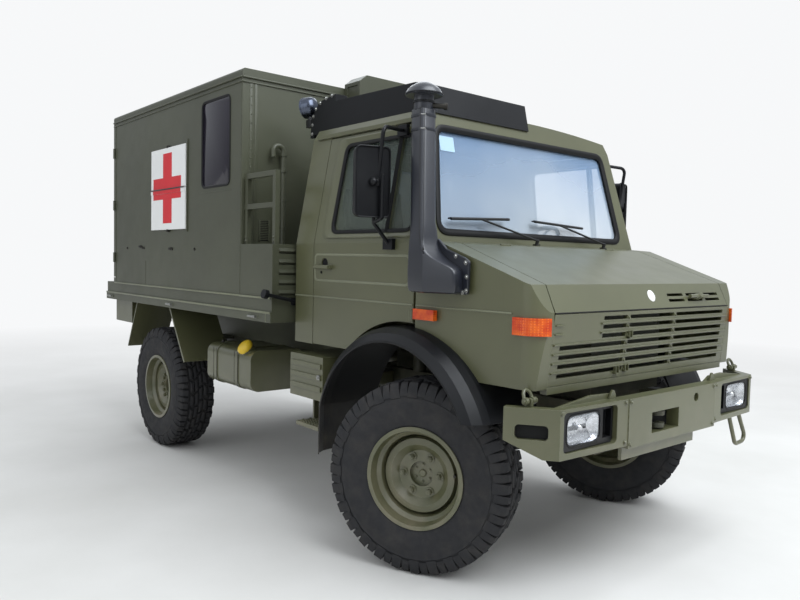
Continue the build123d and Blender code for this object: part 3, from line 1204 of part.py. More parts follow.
# Rear doors: two leaves across the whole rear, three hinge barrels on each outer edge, locking rods
HINGE_R = 10
HINGE_LEAF_T = 6
DOOR_HINGE_Z = [BOX_FLOOR + 233, BOX_FLOOR + 717, BOX_FLOOR + 1200]
BOX_DOOR_AXIS_X = LEAF_X[1] + 1
BOX_DOOR_AXIS_Y = BOX_HALF + HINGE_R + 1
for name, side in (("right", -1), ("left", 1)):
    with BuildPart() as box_door:
        block(LEAF_X, (side * 3, side * BOX_HALF), LEAF_Z)
        for z in DOOR_HINGE_Z:
            strap_y = (side * BOX_HALF, side * (BOX_HALF + HINGE_LEAF_T))
            block((LEAF_X[0] + 6, LEAF_X[1]), strap_y, (z - 45, z + 45))
            axis = (BOX_DOOR_AXIS_X, side * BOX_DOOR_AXIS_Y)
            rod((*axis, z - 45), (*axis, z + 45), HINGE_R)
        lock_y = side * 70
        rod((BOX_REAR - 14, lock_y, LEAF_Z[0] + 40), (BOX_REAR - 14, lock_y, LEAF_Z[1] - 40), 10)
        for z in (LEAF_Z[0] + 60, sum(LEAF_Z) / 2 - 200, LEAF_Z[1] - 60):
            block((BOX_REAR - 26, BOX_REAR), (lock_y - 22, lock_y + 22), (z - 25, z + 25))
    box_door.part.label = f"box_door_{name}"
    export_step(box_door.part, f"parts/box_door_{name}.step")

# Cross panels: fixed upper half on the wall, and the lower flap that folds up over it
CROSS_FACES = (ahead(CROSS_X[0]), ahead(CROSS_X[1]))
FLAP_HINGE_R = 5
FLAP_AXIS_Y = BOX_HALF + CROSS_T + FLAP_HINGE_R + SEAT_GAP
with BuildPart() as cross_panels:
    for side in (-1, 1):
        block(CROSS_FACES, (side * BOX_HALF, side * (BOX_HALF + CROSS_T)), (CROSS_FOLD_Z + 1, CROSS_Z[1]))
cross_panels.part.label = "cross_panels"
export_step(cross_panels.part, "parts/cross_panels.step")

for name, side in (("right", -1), ("left", 1)):
    with BuildPart() as cross_flap:
        block(
            CROSS_FACES, (side * (BOX_HALF + 5), side * (BOX_HALF + CROSS_T)),
            (CROSS_Z[0], CROSS_FOLD_Z - 1),
        )
        lip_y = (side * (BOX_HALF + CROSS_T), side * (BOX_HALF + CROSS_T + 4))
        block(CROSS_FACES, lip_y, (CROSS_FOLD_Z - 34, CROSS_FOLD_Z - 2))
        pin_start, pin_end = [(x, side * FLAP_AXIS_Y, CROSS_FOLD_Z) for x in CROSS_FACES]
        rod(pin_start, pin_end, FLAP_HINGE_R)
    cross_flap.part.label = f"cross_flap_{name}"
    export_step(cross_flap.part, f"parts/cross_flap_{name}.step")

# Roof unit high on the box's front wall, with a recess in each side
UNIT_X = (BOX_FRONT, ahead(-1440))
UNIT_HALF = 300
UNIT_Z = (BOX_TOP - 233, BOX_TOP + 77)
with BuildPart() as roof_unit:
    unit = [
        (-UNIT_HALF, UNIT_Z[0]), (UNIT_HALF, UNIT_Z[0]),
        (UNIT_HALF, UNIT_Z[1] - 50), (UNIT_HALF - 65, UNIT_Z[1]),
    ]
    cross_prism(unit + [(65 - UNIT_HALF, UNIT_Z[1]), (-UNIT_HALF, UNIT_Z[1] - 50)], UNIT_X)
    for side in (-1, 1):
        recess_y = (side * (UNIT_HALF - 8), side * (UNIT_HALF + 1))
        block((UNIT_X[0] + 35, UNIT_X[1] - 25), recess_y, (UNIT_Z[0] + 60, UNIT_Z[1] - 75), Mode.SUBTRACT)
roof_unit.part.label = "roof_unit"
export_step(roof_unit.part, "parts/roof_unit.step")

# Lockers ahead of the box, with hooded louvres in their front faces and a plain corner strip
LOCKER_X = (BOX_FRONT, ahead(-1207))
LOCKER_Y = (700, BOX_HALF)
LOCKER_Z = (PLATFORM_Z[1], 1738)
LOUVRE_Z = [1403, 1470, 1537, 1604, 1676]
LOUVRE_Y = (745, 1101)
HOOD_OUT = 9
with BuildPart() as front_lockers:
    for side in (-1, 1):
        block(LOCKER_X, (side * LOCKER_Y[0], side * LOCKER_Y[1]), LOCKER_Z)
        row_y = [side * y for y in LOUVRE_Y]
        for z in LOUVRE_Z:
            block((LOCKER_X[1] - 14, LOCKER_X[1] + 1), row_y, (z, z + 22), Mode.SUBTRACT)
            hood = [(LOCKER_X[1] - 2, z + 20), (LOCKER_X[1] + HOOD_OUT, z + 16), (LOCKER_X[1] - 2, z + 42)]
            side_prism(hood, row_y)
front_lockers.part.label = "front_lockers"
export_step(front_lockers.part, "parts/front_lockers.step")

# Guard rails of square bar above the lockers
GUARD_HALF = 17
GUARD_Y = BOX_HALF - 38
GUARD_POSTS = [-1600, -1232]
GUARD_BARS = [LOCKER_Z[1] + 254, LOCKER_Z[1] + 460]
PIPE_HOOK = [(-1585, -850, 0), (-1585, -850, 692), (-1585, -930, 692), (-1585, -930, 612)]
with BuildPart() as guard_rails:
    for side in (-1, 1):
        bar_y = (side * GUARD_Y - GUARD_HALF, side * GUARD_Y + GUARD_HALF)
        for x in GUARD_POSTS:
            bar_x = (ahead(x) - GUARD_HALF, ahead(x) + GUARD_HALF)
            block(bar_x, bar_y, (LOCKER_Z[1], GUARD_BARS[1] + GUARD_HALF))
        for z in GUARD_BARS:
            block((BOX_FRONT, ahead(GUARD_POSTS[1])), bar_y, (z - GUARD_HALF, z + GUARD_HALF))
    # Hooked vent pipe beside the front wall
    with BuildLine():
        FilletPolyline(*[(ahead(x), y, LOCKER_Z[1] + rise) for x, y, rise in PIPE_HOOK], radius=38)
    with BuildSketch(Plane.XY.offset(LOCKER_Z[1])):
        with Locations((ahead(PIPE_HOOK[0][0]), PIPE_HOOK[0][1])):
            Circle(18)
    sweep()
guard_rails.part.label = "guard_rails"
export_step(guard_rails.part, "parts/guard_rails.step")

# Rear mudguards ahead of the rear wheels, and the flaps behind them
with BuildPart() as rear_wings:
    for side in (-1, 1):
        plate = stations([(-2965, PLATFORM_Z[0]), (-2668, 792), (-2650, 800), (-2945, PLATFORM_Z[0])])
        side_prism(plate, (side * 700, side * 1100))
        flap = stations([(-3660, PLATFORM_Z[0]), (-3893, 800), (-3905, 804), (-3674, PLATFORM_Z[0])])
        side_prism(flap, (side * 740, side * 1100))
rear_wings.part.label = "rear_wings"
export_step(rear_wings.part, "parts/rear_wings.step")
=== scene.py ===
# %% [markdown]
# The truck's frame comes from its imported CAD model, in metres: +X forward, +Y to its left, +Z up.
# Every piece made here is placed in that same frame, so nothing has to be fitted afterwards.
# Distances along the truck are easiest to read from the front axle, so `at` turns millimetres
# ahead of that axle into a point of the frame.

import json
import math

import bmesh
import bpy
from mathutils import Matrix, Vector

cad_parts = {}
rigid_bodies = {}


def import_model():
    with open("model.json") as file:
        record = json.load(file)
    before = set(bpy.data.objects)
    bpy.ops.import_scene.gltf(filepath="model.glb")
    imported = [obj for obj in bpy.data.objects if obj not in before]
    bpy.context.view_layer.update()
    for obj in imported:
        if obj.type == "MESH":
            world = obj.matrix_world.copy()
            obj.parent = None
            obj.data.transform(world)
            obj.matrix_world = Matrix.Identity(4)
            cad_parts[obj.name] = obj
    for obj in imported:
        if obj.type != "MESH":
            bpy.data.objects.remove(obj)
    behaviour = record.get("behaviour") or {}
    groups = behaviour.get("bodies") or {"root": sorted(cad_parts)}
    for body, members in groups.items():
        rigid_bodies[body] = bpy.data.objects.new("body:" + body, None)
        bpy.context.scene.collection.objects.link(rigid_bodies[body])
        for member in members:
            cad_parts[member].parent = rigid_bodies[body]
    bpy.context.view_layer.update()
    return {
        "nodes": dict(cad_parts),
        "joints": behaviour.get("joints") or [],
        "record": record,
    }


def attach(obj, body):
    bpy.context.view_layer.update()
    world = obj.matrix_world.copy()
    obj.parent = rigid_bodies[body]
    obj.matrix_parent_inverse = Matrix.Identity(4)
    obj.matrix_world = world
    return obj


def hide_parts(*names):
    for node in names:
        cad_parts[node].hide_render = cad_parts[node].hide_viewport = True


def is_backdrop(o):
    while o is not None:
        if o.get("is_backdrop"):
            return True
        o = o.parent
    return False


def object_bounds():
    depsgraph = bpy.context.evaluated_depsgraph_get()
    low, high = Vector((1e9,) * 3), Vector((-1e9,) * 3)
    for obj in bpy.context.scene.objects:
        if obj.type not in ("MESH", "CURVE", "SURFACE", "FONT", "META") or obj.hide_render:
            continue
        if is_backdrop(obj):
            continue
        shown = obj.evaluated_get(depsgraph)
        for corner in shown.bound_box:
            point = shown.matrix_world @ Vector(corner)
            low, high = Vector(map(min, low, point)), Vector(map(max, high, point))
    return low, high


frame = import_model()
scene = bpy.context.scene

WHEELBASE = 3250
FRONT_AXLE_X = 1000 * next(j["pos_m"][0] for j in frame["joints"] if j["name"] == "steer_right")
SIDES = (("right", -1), ("left", 1))


def at(x, y, z):
    """Point given in millimetres from the front axle, as metres in the frame."""
    return Vector((FRONT_AXLE_X + x, y, z)) / 1000


def mm(x, y, z):
    """Point of a piece's own frame, given in millimetres, as metres."""
    return Vector((x, y, z)) / 1000


def placed(name, data):
    """Object of some data, added to the scene."""
    made = bpy.data.objects.new(name, data)
    scene.collection.objects.link(made)
    return made


# %% [markdown]
# The camera stands where the photographer stood: off the front right corner, at eye height, and a
# little less than five metres from the axle. The picture is tilted by about a degree, so the camera
# is turned by its own axes: its X is the picture's right, its Y the picture's up, and it looks
# along its minus Z.

# %% Camera
CAMERA_PLACE = at(2868.43, -3541.08, 1645.02)
YAW, PITCH, ROLL = 2.43554, -0.053629, 0.021745
FOCAL_PIXELS, PICTURE_WIDTH, SENSOR_MM = 723.67, 800, 36
SIGHT_M = 200
forward = Vector((math.cos(PITCH) * math.cos(YAW), math.cos(PITCH) * math.sin(YAW), math.sin(PITCH)))
level_right = forward.cross(Vector((0, 0, 1))).normalized()
right = math.cos(ROLL) * level_right + math.sin(ROLL) * level_right.cross(forward)
camera_data = bpy.data.cameras.new("camera")
camera_data.sensor_width = SENSOR_MM
camera_data.lens = FOCAL_PIXELS / PICTURE_WIDTH * SENSOR_MM
camera_data.clip_end = SIGHT_M
camera = placed("camera", camera_data)
axes = Matrix((right, right.cross(forward), -forward)).transposed().to_4x4()
camera.matrix_world = Matrix.Translation(CAMERA_PLACE) @ axes
scene.camera = camera
scene.view_settings.view_transform = "Standard"

# %% [markdown]
# A node material is easiest to read when each one is made by the same few lines: a shader, the
# numbers that hold all over it, and then links for what varies. `Nodes` adds a node with its values
# and sources in one call. Colours are written as they look on screen, from 0 to 255, and turned
# into the linear numbers that the renderer works with.


# %% Material helpers
def linear(red, green, blue):
    """Screen colour as linear numbers."""
    shares = [value / 255 for value in (red, green, blue)]
    return (*(s / 12.92 if s <= 0.04045 else ((s + 0.055) / 1.055) ** 2.4 for s in shares), 1)


class Nodes:
    """Short ways to add and link the nodes of a tree."""

    def __init__(self, tree):
        self.tree = tree

    def feed(self, socket, value):
        """Link a source to a socket, or give the socket a value."""
        if isinstance(value, bpy.types.NodeSocket):
            self.tree.links.new(value, socket)
        else:
            socket.default_value = value

    def add(self, kind, values=None, **settings):
        """New node with its settings, and with its inputs by name or number."""
        node = self.tree.nodes.new(kind)
        for key, value in settings.items():
            setattr(node, key, value)
        for key, value in (values or {}).items():
            self.feed(node.inputs[key], value)
        return node

    def math(self, operation, first, second):
        return self.add("ShaderNodeMath", {0: first, 1: second}, operation=operation).outputs[0]

    def span(self, source, low, high, to_low=0.0, to_high=1.0):
        """Source between low and high, stretched to a new span and held at its ends."""
        values = {"Value": source, "From Min": low, "From Max": high, "To Min": to_low, "To Max": to_high}
        return self.add("ShaderNodeMapRange", values).outputs["Result"]


class Shade(Nodes):
    """A material with patterns that follow the piece's own coordinates."""

    def __init__(self, name, colour, roughness, **sockets):
        self.material = bpy.data.materials.new(name)
        self.material.use_nodes = True
        super().__init__(self.material.node_tree)
        self.shader = self.tree.nodes["Principled BSDF"]
        for key, value in {"Base_Color": colour, "Roughness": roughness, **sockets}.items():
            self.feed(self.shader.inputs[key.replace("_", " ")], value)
        self.place = self.add("ShaderNodeTexCoord").outputs["Object"]

    def noise(self, scale, detail):
        """Noise over the piece, finer with a larger scale, in cycles per metre."""
        values = {"Vector": self.place, "Scale": scale, "Detail": detail, "Roughness": 0.55}
        return self.add("ShaderNodeTexNoise", values).outputs["Fac"]

    def wave(self, scale, distortion, way):
        values = {"Vector": self.place, "Scale": scale, "Distortion": distortion}
        return self.add("ShaderNodeTexWave", values, bands_direction=way).outputs["Fac"]

    def mix(self, amount, first, second):
        """Colour between two colours or sources."""
        return self.add("ShaderNodeMix", {0: amount, 6: first, 7: second}, data_type="RGBA").outputs[2]

    def height(self):
        """Height above the floor, in metres."""
        return self.add("ShaderNodeSeparateXYZ", {"Vector": self.place}).outputs["Z"]

    def bevel(self, radius):
        """Normal rounded over sharp edges."""
        return self.add("ShaderNodeBevel", {"Radius": radius}, samples=4).outputs["Normal"]

    def bump(self, source, distance, strength=1.0, **normal):
        values = {"Height": source, "Distance": distance, "Strength": strength, **normal}
        self.feed(self.shader.inputs["Normal"], self.add("ShaderNodeBump", values).outputs["Normal"])

    def colour(self, source):
        self.feed(self.shader.inputs["Base Color"], source)

    def uneven(self, scale, detail, high, smooth, dull):
        """Roughness that drifts between two values."""
        drift = self.span(self.noise(scale, detail), 0.3, high, smooth, dull)
        self.feed(self.shader.inputs["Roughness"], drift)

    def dust(self, body, scale, thin, top, foot, most):
        """Colour with clouds of dust that thicken downwards between two heights in metres."""
        low = self.span(self.height(), top, foot, 0, most)
        cloud = self.span(self.noise(scale, 5), thin, 0.7)
        self.colour(self.mix(self.math("MULTIPLY", low, cloud), body, DUST))


# %% [markdown]
# The whole body wears a thick satin army paint, sprayed over steel. Close up it has a fine orange
# peel, which is a shallow bump of a few millimetres' width. From afar its colour drifts a little
# from panel to panel, its raised edges are rubbed paler, and road dust greys what is near the
# floor. Each of those is one noise or height, mixed into the colour or the roughness.

# %% Paints
DUST = linear(150, 138, 118)
RUB = (140, 142, 118)


def paint(name, base, roughness, rub, dust_top, edge, drift, coat):
    """Satin paint with drift, rubbed edges, orange peel and dust below a height in metres."""
    shade = Shade(name, base, roughness, Specular_IOR_Level=0.45, Coat_Weight=coat, Coat_Roughness=0.28)
    pale, deep = (tuple(min(1, c * (1 + way * drift)) for c in base[:3]) + (1,) for way in (1, -1))
    body = shade.mix(shade.span(shade.noise(1.3, 3), 0.35, 0.65), deep, pale)
    soft = shade.bevel(edge / 1000)
    flat = shade.add("ShaderNodeNewGeometry").outputs["Normal"]
    dot = shade.add("ShaderNodeVectorMath", {0: soft, 1: flat}, operation="DOT_PRODUCT").outputs["Value"]
    speck = shade.math("MULTIPLY", shade.span(shade.noise(90, 3), 0.42, 0.62), 0.55)
    worn = shade.math("MULTIPLY", shade.span(dot, 0.995, 0.90), speck)
    shade.dust(shade.mix(worn, body, linear(*rub)), 7, 0.38, dust_top, 0.15, 0.45)
    shade.uneven(5, 5, 0.75, roughness - 0.05, roughness + 0.09)
    shade.bump(shade.noise(380, 2), 0.0003, 0.35, Normal=soft)
    return shade.material


# %% [markdown]
# Moulded plastic, rubber, glass and bare steel each answer light in their own way. The black
# plastic of wings, intake and shroud has a fine leathery grain and a broad soft shine; the intake's
# copy is paler and bluer, a painted sheen of the sky. Tyre rubber is duller, and dust settles in it.
# Glass is clear with a faint tint, and is kept thin by letting light straight through, so that the
# cab's inside shows. The windscreen's blue tint is a painted reflection of the sky, and the cab
# glass's film is paler low down, a painted reflection too.


# %% Plastic, rubber, glass and metal
def plastic(name, base, roughness, grain, grain_depth, coat):
    """Moulded plastic with grain in cycles per metre and its depth in metres."""
    shade = Shade(name, base, roughness, Specular_IOR_Level=0.3, Coat_Weight=coat, Coat_Roughness=0.3)
    shade.dust(base, 6, 0.35, 0.9, 0.3, 0.30)
    shade.uneven(4, 4, 0.7, roughness - 0.05, roughness + 0.08)
    shade.bump(shade.noise(grain, 3), grain_depth, 0.5, Normal=shade.bevel(0.004))
    return shade.material


def rubber(name, base, roughness):
    """Rubber with dust that lies in patches."""
    shade = Shade(name, base, roughness, Specular_IOR_Level=0.35)
    patch = shade.span(shade.noise(14, 6), 0.45, 0.75, 0, 0.14)
    fine = shade.span(shade.noise(160, 3), 0.3, 0.7, 0.4, 1.0)
    shade.colour(shade.mix(shade.math("MULTIPLY", patch, fine), base, linear(112, 104, 92)))
    shade.uneven(30, 4, 0.7, roughness - 0.06, roughness + 0.10)
    shade.bump(shade.noise(260, 4), 0.0006, 0.5)
    return shade.material


def clear(name, tint, roughness, passes, low_reflection_tint=None):
    """Glass that lets a share of the light straight through; if asked, its film is paler low down, a painted
    reflection.
    """
    shade = Shade(name, tint, roughness, Specular_IOR_Level=0.5, Alpha=1 - passes)
    # Painted reflection: the film is mixed towards a paler colour low down, with a drift of noise.
    if low_reflection_tint:
        drift = shade.math("MULTIPLY", shade.span(shade.noise(1.2, 2), 0.35, 0.65), 0.35)
        low = shade.math("ADD", shade.span(shade.height(), 2.36, 1.80, 0, 0.65), drift)
        shade.colour(shade.mix(low, tint, linear(*low_reflection_tint)))
    shade.bump(shade.noise(2, 1), 0.0002, 0.04)
    return shade.material


def metal(name, base, roughness):
    """Plated or bare metal with fine scratches."""
    shade = Shade(name, base, roughness, Metallic=1.0)
    tone = shade.span(shade.noise(60, 4), 0.3, 0.7)
    shade.colour(shade.mix(tone, tuple(c * 0.75 for c in base[:3]) + (1,), base))
    shade.uneven(120, 4, 0.7, roughness - 0.06, roughness + 0.14)
    shade.bump(shade.noise(500, 2), 0.0002, 0.3)
    return shade.material


def plain(name, base, roughness, shine):
    return Shade(name, base, roughness, Specular_IOR_Level=shine).material


def amber_lens(name, base, roughness):
    """Ribbed lens, paler on its ribs and in soft clouds: painted light, as if lit from within by the light
    that it passes.
    """
    shade = Shade(name, base, roughness, Specular_IOR_Level=0.6)
    waves = [shade.wave(26, 0, way) for way in "XYZ"]
    ribs = shade.math("MULTIPLY", shade.math("MULTIPLY", *waves[:2]), waves[2])
    cloud = shade.math("MULTIPLY", shade.span(shade.noise(18, 2), 0.35, 0.65), 0.5)
    painted_glow = shade.math("ADD", shade.math("MULTIPLY", ribs, 0.6), cloud)
    shade.colour(shade.mix(painted_glow, linear(188, 50, 6), linear(244, 118, 26)))
    shade.bump(ribs, 0.0016, 0.6)
    return shade.material


def seat_cloth(name, base, roughness):
    """Dark woven seat cover: two crossed waves make its weave."""
    shade = Shade(name, base, roughness, Sheen_Weight=0.3)
    weave = shade.math("MAXIMUM", shade.wave(160, 0.4, "Y"), shade.wave(160, 0.4, "Z"))
    shade.colour(shade.mix(weave, linear(30, 31, 33), linear(60, 61, 64)))
    shade.bump(weave, 0.0006, 0.6)
    return shade.material


MATERIALS = [
    # for a paint: name, colour, roughness, colour where rubbed, top of its dust, edges, drift, coat
    (paint, "olive_paint", (85, 86, 60), 0.36, RUB, 1.0, 4, 0.10, 0.6),
    (paint, "box_paint", (72, 74, 58), 0.42, RUB, 1.0, 3, 0.10, 0.2),
    (paint, "chassis_paint", (52, 54, 40), 0.6, (95, 92, 78), 1.3, 4, 0.10, 0.2),
    (paint, "black_paint", (20, 20, 21), 0.42, (70, 70, 70), 1.0, 2, 0.10, 0.2),
    (paint, "white_paint", (240, 240, 238), 0.45, (180, 178, 168), 1.0, 4, 0.02, 0.2),
    # a paler copy of the olive paint: a painted highlight on the beads and pressed lines
    (paint, "ridge_paint", (116, 118, 96), 0.4, RUB, 1.0, 4, 0.10, 0.2),
    (paint, "red_paint", (212, 28, 40), 0.5, (160, 60, 60), 1.0, 4, 0.05, 0.2),
    (paint, "yellow_paint", (226, 190, 46), 0.38, (190, 170, 90), 1.0, 4, 0.05, 0.2),
    # for a plastic: name, colour, roughness, grain, its depth, coat
    (plastic, "black_plastic", (14, 15, 18), 0.36, 700, 0.0002, 0.0),
    # the intake's plastic: a paler, bluer copy of the black plastic, its colour a painted sheen of the sky
    (plastic, "intake_plastic", (26, 29, 38), 0.34, 700, 0.0002, 0.9),
    (plastic, "seal_rubber", (12, 12, 13), 0.5, 500, 0.0001, 0.0),
    (rubber, "tyre", (38, 38, 40), 0.72),
    # for a glass: name, tint, roughness, share of light that passes, paler tint low down; that paler tint
    # is a painted reflection, and the windscreen's blue tint is a painted reflection of the sky
    (clear, "glass", (140, 174, 214), 0.02, 0.62, (228, 238, 246)),
    (clear, "side_glass", (92, 106, 102), 0.02, 0.76, (128, 136, 122)),
    (clear, "lens", (236, 240, 244), 0.02, 0.90),
    (clear, "lamp_glass", (226, 232, 236), 0.05, 0.55),
    (metal, "mirror_glass", (205, 210, 216), 0.06),
    (metal, "zinc", (176, 176, 172), 0.34),
    (metal, "dark_steel", (70, 68, 64), 0.48),
    (metal, "reflector", (222, 224, 228), 0.16),
    (metal, "lamp_shell", (92, 98, 112), 0.22),
    # for a plain finish: name, colour, roughness, shine
    (plain, "box_tint", (30, 26, 38), 0.08, 0.6),
    # near-black for painted shade in holes, in the door scoop and behind the vent
    (plain, "void", (8, 8, 8), 0.9, 0.5),
    (plain, "sticker", (176, 206, 226), 0.5, 0.5),
    (plain, "red_lens", (168, 18, 22), 0.2, 0.6),
    (amber_lens, "amber", (226, 88, 12), 0.16),
    (seat_cloth, "seat_vinyl", (44, 45, 47), 0.85),
]
materials = {name: make(name, linear(*colour), *numbers) for make, name, colour, *numbers in MATERIALS}

# %% [markdown]
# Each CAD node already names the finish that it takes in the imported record, so one loop dresses
# them all. Its mesh is left alone, and only its material slot is filled.

# %% Dress the CAD nodes
finish_of = {part["node"]: part["material_slot"] for part in frame["record"]["subparts"]}
for name, node in frame["nodes"].items():
    node.data.materials.clear()
    node.data.materials.append(materials["side_glass" if name.startswith("door_glass") else finish_of[name]])

# %% [markdown]
# Small parts that repeat are Geometry Nodes trees: one for anything that stands in a ring, one for
# fasteners that face away from a surface, and one that draws a section along a path. Each ends in
# Realize Instances and Set Material. The result is turned into a plain mesh before it is used.


# %% Geometry Nodes helpers
class Tree(Nodes):
    """A Geometry Nodes tree whose named inputs can stand for a node's source."""

    def __init__(self, name, **inputs):
        super().__init__(bpy.data.node_groups.new(name, "GeometryNodeTree"))
        face = self.tree.interface
        kinds = {"Geometry": "Geometry", **inputs, "Material": "Material"}
        self.ids = {
            title: face.new_socket(title, in_out="INPUT", socket_type=f"NodeSocket{kind}").identifier
            for title, kind in kinds.items()
        }
        face.new_socket("Geometry", in_out="OUTPUT", socket_type="NodeSocketGeometry")
        self.inputs = self.tree.nodes.new("NodeGroupInput").outputs
        self.output = self.tree.nodes.new("NodeGroupOutput")

    def feed(self, socket, value):
        named = isinstance(value, str) and value in self.ids
        super().feed(socket, self.inputs[value] if named else value)

    def end(self, geometry):
        realized = self.add("GeometryNodeRealizeInstances", {"Geometry": geometry}).outputs[0]
        dressed = self.add("GeometryNodeSetMaterial", {"Geometry": realized, "Material": "Material"})
        self.feed(self.output.inputs[0], dressed.outputs[0])

    def run(self, mesh, finish, **values):
        """The tree's result on a mesh, as a plain mesh."""
        holder = placed("holder", mesh)
        modifier = holder.modifiers.new("tree", "NODES")
        modifier.node_group = self.tree
        for title, value in {"Material": materials[finish], **values}.items():
            modifier[self.ids[title]] = value
        bpy.context.view_layer.update()
        made = holder.evaluated_get(bpy.context.evaluated_depsgraph_get())
        result = bpy.data.meshes.new_from_object(made)
        holder.modifiers.remove(modifier)
        bpy.data.objects.remove(holder)
        return result


ring = Tree("ring", Count="Int", First="Float", Shape="Object")
ring_step = ring.math("DIVIDE", math.tau, "Count")
ring_index = ring.add("GeometryNodeInputIndex").outputs[0]
ring_angle = ring.math("ADD", ring.math("MULTIPLY", ring_index, ring_step), "First")
ring.end(ring.add("GeometryNodeInstanceOnPoints", {
    "Points": ring.add("GeometryNodePoints", {"Count": "Count"}).outputs[0],
    "Instance": ring.add("GeometryNodeObjectInfo", {"Object": "Shape"}).outputs["Geometry"],
    "Rotation": ring.add("ShaderNodeCombineXYZ", {"Z": ring_angle}).outputs[0],
}).outputs[0])

fasteners = Tree("fasteners", Radius="Float", Height="Float", Sides="Int", Washer="Float")
facing_way = fasteners.add("GeometryNodeInputNamedAttribute", {"Name": "facing"}, data_type="FLOAT_VECTOR")
aligned = fasteners.add("FunctionNodeAlignRotationToVector", {"Vector": facing_way.outputs[0]}, axis="Z")
head = fasteners.add("GeometryNodeMeshCone", {
    "Vertices": "Sides", "Radius Bottom": "Radius", "Depth": "Height",
    "Radius Top": fasteners.math("MULTIPLY", "Radius", 0.8),
})
disc = fasteners.add("GeometryNodeMeshCylinder", {
    "Vertices": 16, "Radius": fasteners.math("MULTIPLY", "Radius", "Washer"),
    "Depth": fasteners.math("MULTIPLY", "Height", 0.3),
})
both = fasteners.add("GeometryNodeJoinGeometry")
for part in (head, disc):
    fasteners.feed(both.inputs[0], part.outputs["Mesh"])
fasteners.end(fasteners.add("GeometryNodeInstanceOnPoints", {
    "Points": "Geometry", "Instance": both.outputs[0], "Rotation": aligned.outputs[0],
}).outputs[0])

section = Tree("section along path", Width="Float", Height="Float", Corner="Float")
section_path = section.add("GeometryNodeMeshToCurve", {"Mesh": "Geometry"})
section_shape = section.add("GeometryNodeCurvePrimitiveQuadrilateral", {"Width": "Width", "Height": "Height"})
section_round = section.add("GeometryNodeFilletCurve", {
    "Curve": section_shape.outputs[0], "Radius": "Corner", "Count": 3, "Limit Radius": True,
}, mode="POLY")
section.end(section.add("GeometryNodeCurveToMesh", {
    "Curve": section_path.outputs[0], "Profile Curve": section_round.outputs[0], "Fill Caps": True,
}).outputs[0])

# %% [markdown]
# A few plain helpers finish every piece in the same way: its mesh gets its material, its faces are
# turned outwards and smoothed up to an angle, and it rides on the body that carries it. `build` takes
# a piece's round bars and blocks as rows of numbers, in millimetres on the plane or body that `place`
# stands for.

# %% Piece helpers
CORNER_STEPS = 6
MIN_CORNER = 3


def piece(name, mesh, finish, smooth=30, body="chassis", replaces=()):
    """Object of a mesh in the frame, shaded, dressed and riding on a body."""
    mesh.materials.clear()
    mesh.materials.append(materials[finish])
    for face in mesh.polygons:
        face.use_smooth = True
        face.material_index = 0
    mesh.set_sharp_from_angle(angle=math.radians(smooth))
    made = placed(name, mesh)
    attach(made, body)
    if replaces:
        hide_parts(*replaces)
    return made


def as_mesh(form):
    """Plain mesh of a bmesh form, with its faces turned outwards."""
    bmesh.ops.recalc_face_normals(form, faces=form.faces[:])
    mesh = bpy.data.meshes.new("mesh")
    form.to_mesh(mesh)
    form.free()
    return mesh


def skin(rows, ring_of_rows=False):
    """Mesh through rows of points. Each row closes on itself, and a row may be a single point."""
    form = bmesh.new()
    rows = [[form.verts.new(point) for point in row] for row in rows]
    steps = max(map(len, rows))
    for low, high in zip(rows, rows[1:] + (rows[:1] if ring_of_rows else [])):
        for index in range(steps):
            after = (index + 1) % steps
            corners = [low[index % len(low)], low[after % len(low)]]
            corners += [high[after % len(high)], high[index % len(high)]]
            form.faces.new(list(dict.fromkeys(corners)))
    for row in () if ring_of_rows else (rows[0], rows[-1]):
        if len(row) > 1:
            form.faces.new(row)
    return as_mesh(form)


def circle(count, radius, height=0.0, first=0.0):
    """Points on a circle round Z."""
    turns = [first + math.tau * index / count for index in range(count)]
    return [(radius * math.cos(t), radius * math.sin(t), height) for t in turns]


def turned(outline, steps=40, ring_of_rows=False):
    """Solid of a (radius, height) outline in millimetres turned about Z, or a ring of its section."""
    rows = [circle(steps, radius, height) if radius else [(0, 0, height)] for radius, height in outline]
    return skin([[mm(*point) for point in row] for row in rows], ring_of_rows)


def along(start, way):
    """Matrix that lays Z along a direction from a start."""
    return Matrix.Translation(start) @ way.to_track_quat("Z", "Y").to_matrix().to_4x4()


def laid(mesh, place):
    """Copy of a mesh, laid by a matrix."""
    copy = mesh.copy()
    copy.transform(place)
    return copy


def ball(centre, radius, around, rings):
    form = bmesh.new()
    bmesh.ops.create_uvsphere(
        form, u_segments=around, v_segments=rings, radius=radius / 1000, matrix=Matrix.Translation(centre),
    )
    return as_mesh(form)


def add_rod(form, start, end, radius, sides=20, end_radius=None):
    """Round bar between two points in metres, its radius in millimetres."""
    end_radius = radius if end_radius is None else end_radius
    bmesh.ops.create_cone(
        form, cap_ends=True, segments=sides, radius1=radius / 1000, radius2=end_radius / 1000,
        depth=(end - start).length, matrix=along((start + end) / 2, end - start),
    )


def add_block(form, low, high, bevel=0.0):
    """Box between two corners in metres, its edges rounded by millimetres."""
    made = bmesh.ops.create_cube(form, size=1)["verts"]
    place = Matrix.Translation((low + high) / 2) @ Matrix.Diagonal((*map(abs, high - low), 1))
    bmesh.ops.transform(form, matrix=place, verts=made)
    if bevel:
        edges = list({edge for vert in made for edge in vert.link_edges})
        bmesh.ops.bevel(form, geom=edges, offset=bevel / 1000, segments=2, affect="EDGES", profile=0.6)


def build(rods=(), blocks=(), meshes=(), place=at):
    """Mesh of bars (start, end, radius, sides, end radius), blocks (low, high, bevel) and meshes."""
    form = bmesh.new()
    for start, end, *sizes in rods:
        add_rod(form, place(*start), place(*end), *sizes)
    for low, high, *bevel in blocks:
        add_block(form, place(*low), place(*high), *bevel)
    for mesh in meshes:
        form.from_mesh(mesh)
    return as_mesh(form)


